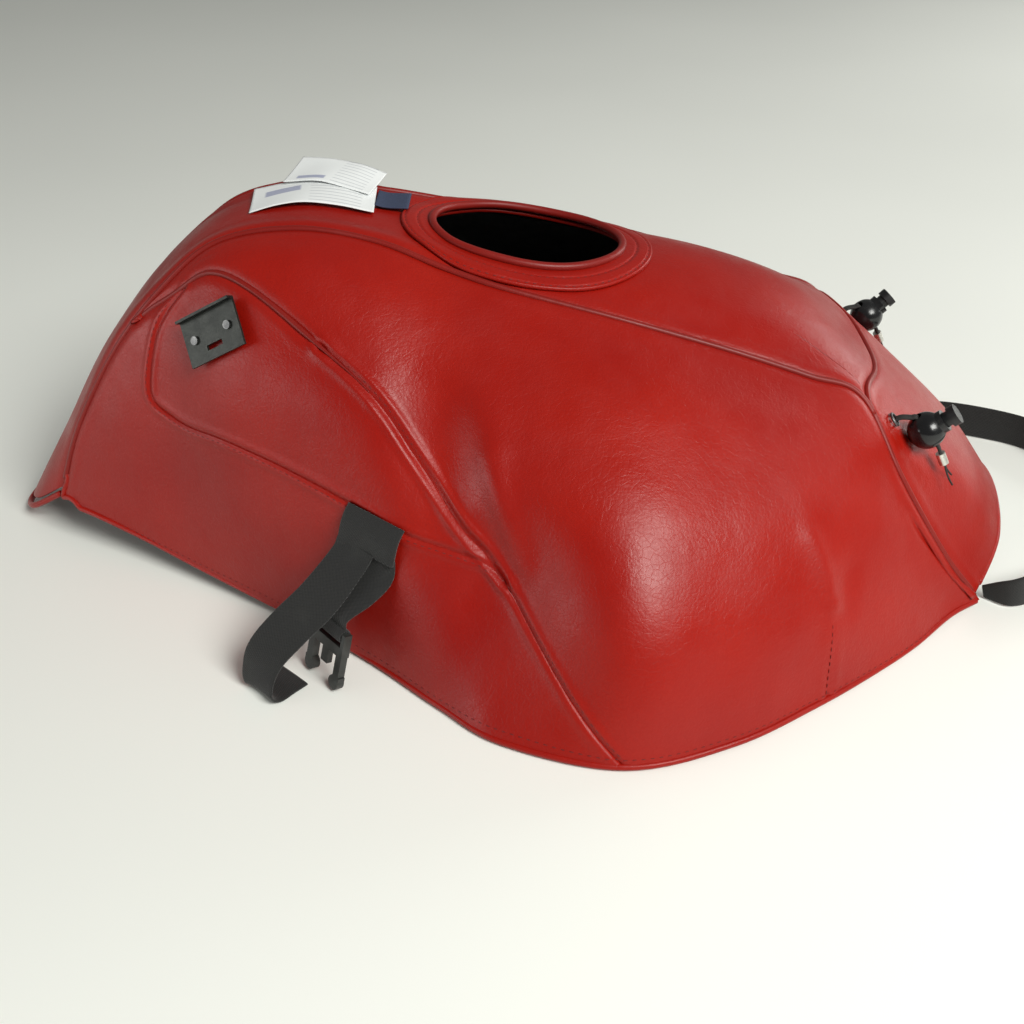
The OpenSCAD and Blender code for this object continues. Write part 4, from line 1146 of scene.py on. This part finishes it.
@dataclass
class SideStrap(Webbing):
    """One side's sewn tab, its long free strap and the short strap to the buckle."""

    side: Side = Side.RIGHT
    tab_w: float = 38.0
    tab_h: float = 18.0
    tab_t: float = 3.4
    bar_d: float = 4.4
    prong_l: float = 22.0
    webbing: bpy.types.Material = field(default=None)
    thread: bpy.types.Material = field(default=None)

    def __post_init__(self) -> None:
        """Sets out the tab and the buckle's bar on the left side."""
        p = SHAPE.skin(np.array([[6.08, 4.9]]), 1.4)[0]
        self.n = SHAPE.out(np.array([6.08]), np.array([4.9]))[0]
        d = SHAPE.at(np.array([6.5]), np.array([4.78]))[0] - SHAPE.at(np.array([5.7]), np.array([4.9]))[0]
        self.dir = d / np.linalg.norm(d)
        self.down = np.cross(self.n, self.dir)
        self.down /= np.linalg.norm(self.down)
        self.p = p
        self.low = p + self.n * (self.tab_t / 2 + 1.6) + self.down * (9 + 0.4 + 2.2)
        self.tip = np.array([self.low[0] - 26, self.low[1] + 23, 0.6])
        self.bar_z = self.prong_l + 6 + (1.8 + 0.6 + 1.6) + self.bar_d / 2
        self.bar = self.tip + self.turned((0, 0, self.bar_z))

    @staticmethod
    def turned(p: Sequence[float], turn: float = 48.0, lean: float = 16.0) -> Array:
        """A point of the buckle's own frame, turned as the buckle is."""
        a, b = math.radians(lean), math.radians(turn)
        y = p[1] * math.cos(a) - p[2] * math.sin(a)
        z = p[1] * math.sin(a) + p[2] * math.cos(a)
        return np.array([p[0] * math.cos(b) - y * math.sin(b), p[0] * math.sin(b) + y * math.cos(b), z])

    def mirrored(self, bm: bmesh.types.BMesh) -> bmesh.types.BMesh:
        """Turns a left piece to this strap's side."""
        if self.side is Side.RIGHT:
            bmesh.ops.scale(bm, vec=(1, -1, 1), verts=bm.verts)
            bmesh.ops.reverse_faces(bm, faces=bm.faces)
        return bm

    def tab(self) -> None:
        """The folded tab that is sewn under the knee panel."""
        w = self.side.word
        top = self.p + self.n * 0.4 - self.down * (self.tab_h / 2 + 2.5)
        low = self.low - self.down * 1.0
        mid = self.p + self.n * (self.tab_t / 2 + 2.4)
        sections = [[top, self.dir], [top + self.down * 5 + self.n * 2.6, self.dir], [mid, self.dir], [low, self.dir]]
        bm = self.mirrored(self.ribbon(sections, 26, self.tab_w, self.tab_t, 0.5))
        obj = Piece.finish(f"{w}_tab_webbing", bm, self.webbing, "cover", "webbing", (f"{w}_strap_tab",))
        declare_sheet(obj, (self.tab_w, 24), 2)

    def tail(self) -> None:
        """The long strap, which hangs to the ground and rolls under."""
        w = self.side.word
        share = (((-25, 14, 0.72), (26, 8, -6)), ((-41, 23, 0.53), (27, 8, -5)), ((-54, 29, 0.34), (27, 12, -2)),
                 ((-59, 33, 0.18), (25, 18, 0)), ((-59, 36.5, 0.06), (22, 19.5, 0)), ((-55.5, 34.6, 0), (22, 19.5, 0)),
                 ((-49, 27.3, 0), (22, 19.5, 0)), ((-43, 20.5, 0), (22, 19.5, 0)))
        low_z = self.thick / 2 + 0.3
        p = self.low - self.dir * (self.tab_w - self.width) / 2 + self.n * (self.thick + 0.4) / 2
        sections = [[p - self.down * 3, self.dir], [p + self.down * 5 + self.n * 1.5 + (-1.2, 0.4, 0), self.dir]]
        for (x, y, z), g in share:
            sections.append([np.array([self.low[0] + x, self.low[1] + y, low_z + (self.low[2] - low_z) * z]), g])
        bm = self.mirrored(self.ribbon(sections, 90, None, None, 0.3))
        obj = Piece.finish(f"{w}_long_strap", bm, self.webbing, f"{w}_strap", "webbing", (f"{w}_tail_webbing",))
        declare_sheet(obj, (self.width, 122), 2)

    def to_buckle(self) -> None:
        """The short strap with the loop round the buckle's bar."""
        w = self.side.word
        p = self.low + self.dir * (self.tab_w - self.width) / 2 - self.n * (self.thick + 0.4) / 2
        loop_r = self.bar_d / 2 + 0.3 + 0.9
        bar_dir = self.turned((1, 0, 0))
        up = self.turned((0, 0, 1))
        e = self.bar + up * (loop_r + 0.6)
        sections = [[p - self.down * 2, self.dir], [p + self.down * 8 + (1, 1, 0), self.dir],
                    [(p + e) / 2 + (3, 0, 0), self.dir + bar_dir], [e + up * 6, bar_dir]]
        for deg in range(-40, 300, 34):
            a = math.radians(deg)
            sections.append([self.bar + self.turned((0, -loop_r * math.cos(a), loop_r * -math.sin(-a))), bar_dir])
        bm = self.mirrored(self.ribbon(sections, 120, None, 1.5, 0.0))
        obj = Piece.finish(f"{w}_short_strap", bm, self.webbing, f"{w}_strap", "webbing", (f"{w}_buckle_webbing",))
        declare_sheet(obj, (self.width, 70), 2)

    def build(self) -> None:
        """Builds the side's straps."""
        self.tab()
        self.tail()
        self.to_buckle()


@dataclass
class FrontStrap(Webbing):
    """The loop of webbing in front of the cover, standing on its edge."""

    reach: float = 80.0
    webbing: bpy.types.Material = field(default=None)

    def build(self) -> None:
        """Builds the loop."""
        corner = SHAPE.at(np.array([14.9]), np.array([4.0]))[0]
        front_x = SHAPE.at(np.array([15.0]), np.array([0.0]))[0][0]
        x0, y0, x1 = corner[0] + 9, corner[1], front_x + self.reach
        xs = x1 - self.thick / 2
        half = [(x0, y0 - 8), (x0 + 14, y0 + 1), (x0 + 34, y0 - 5), (x1 - 30, y0 - 24), (x1 - 9, y0 - 50),
                (xs, 34), (xs, 16)]
        path = half + [(xs, 0)] + [(x, -y) for x, y in half[::-1]]
        # the ends are gathered to fit under the hem, with the lower edge always on the ground
        full, gathered = self.width / 2 + 0.3, 4.6
        rise = [gathered, full * 0.8] + [full] * (len(path) - 4) + [full * 0.8, gathered]
        sections = [[(x, y, z), (0, 0, 1)] for (x, y), z in zip(path, rise)]
        widths = 2 * (self.frames(sections, 150)[0][:, 2] - 0.3)
        bm = self.ribbon(sections, 150, widths, None, 0.0)
        obj = Piece.finish("front_strap_loop", bm, self.webbing, "front_strap", "webbing", ("front_webbing",))
        declare_sheet(obj, (self.width, 360), 2)


# ---------------------------------------------------------------- labels


@dataclass
class Labels(Webbing):
    """The woven tab and the two blank labels behind the filler ring."""

    label_w: float = 42.0
    label_l: float = 86.0
    hole_x: float = -26.0

    def build(self) -> None:
        """Builds the tab and both labels."""
        x = self.hole_x - 115 / 2 - 18 - 1.5
        q = SHAPE.find(np.array([self.hole_x - 115 / 2 - 20]), np.array([0.0001]))
        z = SHAPE.at(q[:, 0], q[:, 1])[0][2] + 1.0 + 1.4
        tab = ClothFinish("woven_tab", (0.05, 0.07, 0.14, 1), (0.01, 0.014, 0.03, 1), 0.8, 0.0007).make()
        bm = self.ribbon([[(x + 6, 18, z + 1.2), (0, 1, 0)], [(x - 7, 18, z + 1.6), (0, 1, 0)],
                          [(x - 14, 18, z + 3.2), (0, 1, 0)]], 16, self.label_w * 0.6, 1.2)
        Piece.finish("label_ribbon_tab", bm, tab, "cover", "woven_tab", ("label_tab",))
        size = [[(x - 14.4, 14, z + 3.6), (0, 1, 0)], [(x - 32, 13, z + 8.2), (0, 1, 0)], [(x - 52, 12, z + 10), (0, 1, 0)],
                [(x - 70, 10, z + 8.4), (0, 1, 0)], [(x - 14 - self.label_l * 0.86, 8, z + 4.5), (0, 1, 0)]]
        care = [[(x - 14.6, 34, z + 6.4), (0, 1, 0.06)], [(x - 30, 37, z + 10.4), (0, 1, 0.06)],
                [(x - 48, 41, z + 12.8), (0, 1, 0.06)], [(x - 8 - self.label_l * 0.7, 45, z + 11.6), (0, 1, 0.06)]]
        for name, keys, width, band, node in (("size", size, self.label_w, (0.5, 0.72), "size_label"),
                                              ("care", care, self.label_w * 0.9, (0.1, 0.22), "care_label")):
            finish = LabelFinish(f"{name}_label_ribbon", band=band).make()
            obj = self.slip(f"{name}_label_slip", keys, width, finish, node)
            declare_sheet(obj, (width, self.label_l))

    def slip(self, name: str, keys: Sequence, width: float, finish: bpy.types.Material, node: str) -> bpy.types.Object:
        """One thin label along its keys."""
        p, e, h = self.frames(keys, 60)

        def place(s: Array, t: Array) -> Array:
            """Points of the label."""
            k = np.rint(s * 59).astype(int)
            wave = 0.5 * np.sin(7 * s + 3 * t)
            return p[k] + e[k] * ((t - 0.5) * width)[:, None] + h[k] * wave[:, None]

        bm = Piece.grid(59, 16, place)
        bmesh.ops.recalc_face_normals(bm, faces=bm.faces)
        return Piece.finish(name, bm, finish, "labels", "label_white", (node,), 0.4, 0)


# ---------------------------------------------------------------- cord locks


@dataclass
class CordLock:
    """The elastic cord and tails of one cord lock; its plastic parts are the frame's own."""

    side: Side = Side.RIGHT
    ball: float = 22.0
    elastic_d: float = 2.0
    elastic: bpy.types.Material = field(default=None)

    def __post_init__(self) -> None:
        """Sets out the lock's own frame."""
        s = self.side.value
        base = SHAPE.skin(np.array([[12.86, 1.42]]), 1.0)[0]
        n = SHAPE.out(np.array([12.86]), np.array([1.42]))[0]
        tilt = math.acos(n[2])
        turn = math.atan2(n[1], n[0]) * 0.4
        at = base + n * (self.ball / 2 + 0.8)
        self.frame = (Matrix.Translation((at[0], s * at[1], at[2])) @ Matrix.Rotation(s * turn, 4, "Z")
                      @ Matrix.Rotation(tilt, 4, "Y"))

    def line(self, keys: Sequence, count: int) -> Array:
        """Points in mm along keys of the lock's frame."""
        pts = SHAPE.along(keys, np.linspace(0, len(keys) - 1, count))
        return np.array([(self.frame @ Vector(p))[:] for p in pts])

    def build(self) -> None:
        """Builds the cords."""
        r, w = self.ball / 2, self.side.word
        x0 = -r - 5
        y_dir = np.array((self.frame.to_3x3() @ Vector((0, 1, 0)))[:])
        for m in (-1, 1):
            tag = "near" if m < 0 else "far"
            y = m * (self.elastic_d / 2 + 0.3)
            keys = ((x0, y, -r + 0.8), (x0 + 1, y, -r * 0.6), (x0 + 4, y, -2.5), (-r + 1, y, 0), (0, y, 0), (r, y, 0),
                    (r + 4, y, -0.6), (r + 6, y, -1.4))
            pts = self.line(keys, 60)
            bm = Piece.tube(pts, np.tile(y_dir, (60, 1)), self.elastic_d / 2, 10)
            nodes = (f"{w}_lock_cord",)
            obj = Piece.finish(f"{w}_{tag}_elastic", bm, self.elastic, "cover", "elastic", nodes)
            (pts[0] * MM).tolist()
            self.elastic_d * MM
            (pts * MM).tolist()
            keys = ((r + 14.6, m * 1.3, -3.4), (r + 18, m * 2.4, -4.6), (r + 22, m * 4.4, -5.4), (r + 26, m * 6, -5.6))
            pts = self.line(keys, 30)
            bm = Piece.tube(pts, np.tile(y_dir, (30, 1)), 0.6, 8)
            Piece.finish(f"{w}_{tag}_cord_tail", bm, self.elastic, "cover", "elastic", (f"{w}_cord_tails",))


# ---------------------------------------------------------------- fittings and studio


@dataclass
class Fittings:
    """Dresses the frame's own rigid parts."""

    nodes: dict = field(default_factory=dict)

    def dress(self, names: Sequence[str], material: bpy.types.Material, width: float, angle: float = 32.0) -> None:
        """Gives parts a finish and softly broken edges.

        Args:
            names: the frame's nodes.
            material: their finish.
            width: the edge's width in mm.
            angle: the least angle in degrees that counts as an edge.
        """
        for name in names:
            obj = self.nodes[name]
            for slot in obj.material_slots:
                slot.material = material
            if not obj.material_slots:
                obj.data.materials.append(material)
            if width:
                bevel = obj.modifiers.new("edges", "BEVEL")
                bevel.width = width * MM
                bevel.segments = 2
                bevel.limit_method = "ANGLE"
                bevel.angle_limit = math.radians(angle)
                bevel.harden_normals = False
            LOG.info("%s dressed in %s", name, material.name)

    def build(self) -> None:
        """Dresses every rigid part."""
        buckle = PlasticFinish("buckle_plastic", (0.020, 0.022, 0.020, 1), (0.05, 0.053, 0.05, 1), 0.42, 0.00008).make()
        lock = PlasticFinish("lock_plastic", (0.006, 0.006, 0.007, 1), (0.014, 0.014, 0.015, 1), 0.2, 0.00002).make()
        plate = MetalFinish("gunmetal", (0.030, 0.032, 0.029, 1), (0.045, 0.048, 0.043, 1), 0.4, 0.75).make()
        rivet = MetalFinish("rivet_steel", (0.10, 0.10, 0.10, 1), (0.25, 0.25, 0.24, 1), 0.34, 0.9).make()
        spring = MetalFinish("spring_steel", (0.5, 0.5, 0.51, 1), (0.65, 0.65, 0.65, 1), 0.28, 1.0).make()
        crimp = MetalFinish("crimp_metal", (0.62, 0.60, 0.55, 1), (0.80, 0.78, 0.73, 1), 0.3, 1.0).make()
        eyelet = MetalFinish("eyelet_metal", (0.10, 0.10, 0.10, 1), (0.22, 0.22, 0.22, 1), 0.35, 0.9).make()
        self.dress(("prong_buckle", "socket_buckle", "front_slider"), buckle, 0.5)
        self.dress(("right_lock_body", "left_lock_body"), lock, 0.4)
        button = PlasticFinish("plunger_plastic", (0.007, 0.007, 0.008, 1), (0.014, 0.014, 0.015, 1),
                               0.42, 0.00004).make()
        self.dress(("right_lock_plunger", "left_lock_plunger"), button, 0.4)
        self.dress(("right_trim_plate", "left_trim_plate"), plate, 0.25)
        self.dress(("trim_rivets",), rivet, 0.3)
        self.dress(("right_lock_spring", "left_lock_spring"), spring, 0)
        self.dress(("lock_crimps",), crimp, 0.5)
        self.dress(("cord_eyelets",), eyelet, 0)


@dataclass
class Studio:
    """Floor, light and camera."""

    eye: tuple[float, float, float] = (-0.025, -0.708, 0.471)
    pitch: float = 34.0
    yaw: float = -0.8
    lens: float = 43.45

    def floor(self) -> None:
        """A wide pale floor."""
        bm = bmesh.new()
        bmesh.ops.create_grid(bm, x_segments=8, y_segments=8, size=6.0)
        bmesh.ops.translate(bm, verts=bm.verts, vec=(0, 0, -0.0004))
        mesh = bpy.data.meshes.new("pale_floor")
        bm.to_mesh(mesh)
        bm.free()
        obj = bpy.data.objects.new("pale_floor", mesh)
        bpy.context.scene.collection.objects.link(obj)
        t = Tree("pale_floor")
        where = t.coords()
        soft = t.noise(where, 2.0, 2.0)
        mesh.materials.append(t.finish(Base_Color=t.mix(soft, (0.85, 0.865, 0.82, 1), (0.88, 0.895, 0.85, 1)),
                                       Roughness=t.span(soft, 0.3, 0.7, 0.42, 0.52)))

    @staticmethod
    def lamp(name: str, place: Sequence[float], aim: Sequence[float], size: tuple[float, float], power: float,
             colour: Sequence[float] = (1, 1, 1)) -> None:
        """A soft rectangular light at a place, turned to face a point."""
        data = bpy.data.lights.new(name, "AREA")
        data.shape = "RECTANGLE"
        data.size, data.size_y = size
        data.energy = power
        data.color = colour
        obj = bpy.data.objects.new(name, data)
        bpy.context.scene.collection.objects.link(obj)
        obj.location = place
        obj.rotation_euler = (Vector(aim) - Vector(place)).to_track_quat("-Z", "Y").to_euler()

    def light(self) -> None:
        """A low window behind on the right, a large soft light over the front, and a pale room."""
        self.lamp("window", (1.75, 1.15, 0.75), (0.1, 0, 0.1), (1.1, 0.9), 14, (1.0, 1.0, 0.97))
        self.lamp("soft_front", (1.05, -1.25, 1.6), (0, 0, 0.05), (1.1, 0.9), 55, (1.0, 1.0, 0.96))
        self.lamp("low_left", (-1.9, -0.6, 0.35), (-0.1, 0, 0.1), (1.2, 0.5), 8, (1.0, 1.0, 1.0))
        world = bpy.data.worlds.new("room")
        bpy.context.scene.world = world
        world.use_nodes = True
        back = world.node_tree.nodes["Background"]
        back.inputs[0].default_value = (0.81, 0.82, 0.78, 1)
        back.inputs[1].default_value = 0.25
        bpy.context.scene.view_settings.view_transform = "Standard"

    def camera(self) -> None:
        """The camera."""
        data = bpy.data.cameras.new("camera")
        data.lens = self.lens
        data.sensor_width = 36
        data.clip_start = 0.01
        obj = bpy.data.objects.new("camera", data)
        bpy.context.scene.collection.objects.link(obj)
        p, y = math.radians(self.pitch), math.radians(self.yaw)
        ahead = Vector((math.sin(y) * math.cos(p), math.cos(y) * math.cos(p), -math.sin(p)))
        obj.location = self.eye
        obj.rotation_euler = ahead.to_track_quat("-Z", "Y").to_euler()
        bpy.context.scene.camera = obj

    def build(self) -> None:
        """Builds the studio."""
        self.floor()
        self.light()
        self.camera()


def main() -> None:
    """Builds the cover over its frame."""
    logging.basicConfig(level=logging.INFO, format="%(name)s: %(message)s")
    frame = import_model()
    Studio().build()
    cover = SewnCover()
    cover.build()
    webbing = WebbingFinish().make()
    for side in Side:
        SideStrap(side=side, webbing=webbing, thread=cover.thread).build()
    FrontStrap(webbing=webbing).build()
    Labels().build()
    elastic = ClothFinish("elastic_cord", (0.03, 0.028, 0.026, 1), (0.01, 0.01, 0.01, 1), 0.8, 0.0004).make()
    for side in Side:
        CordLock(side=side, elastic=elastic).build()
    Fittings(nodes=frame["nodes"]).build()


if __name__ == "__main__":
    main()
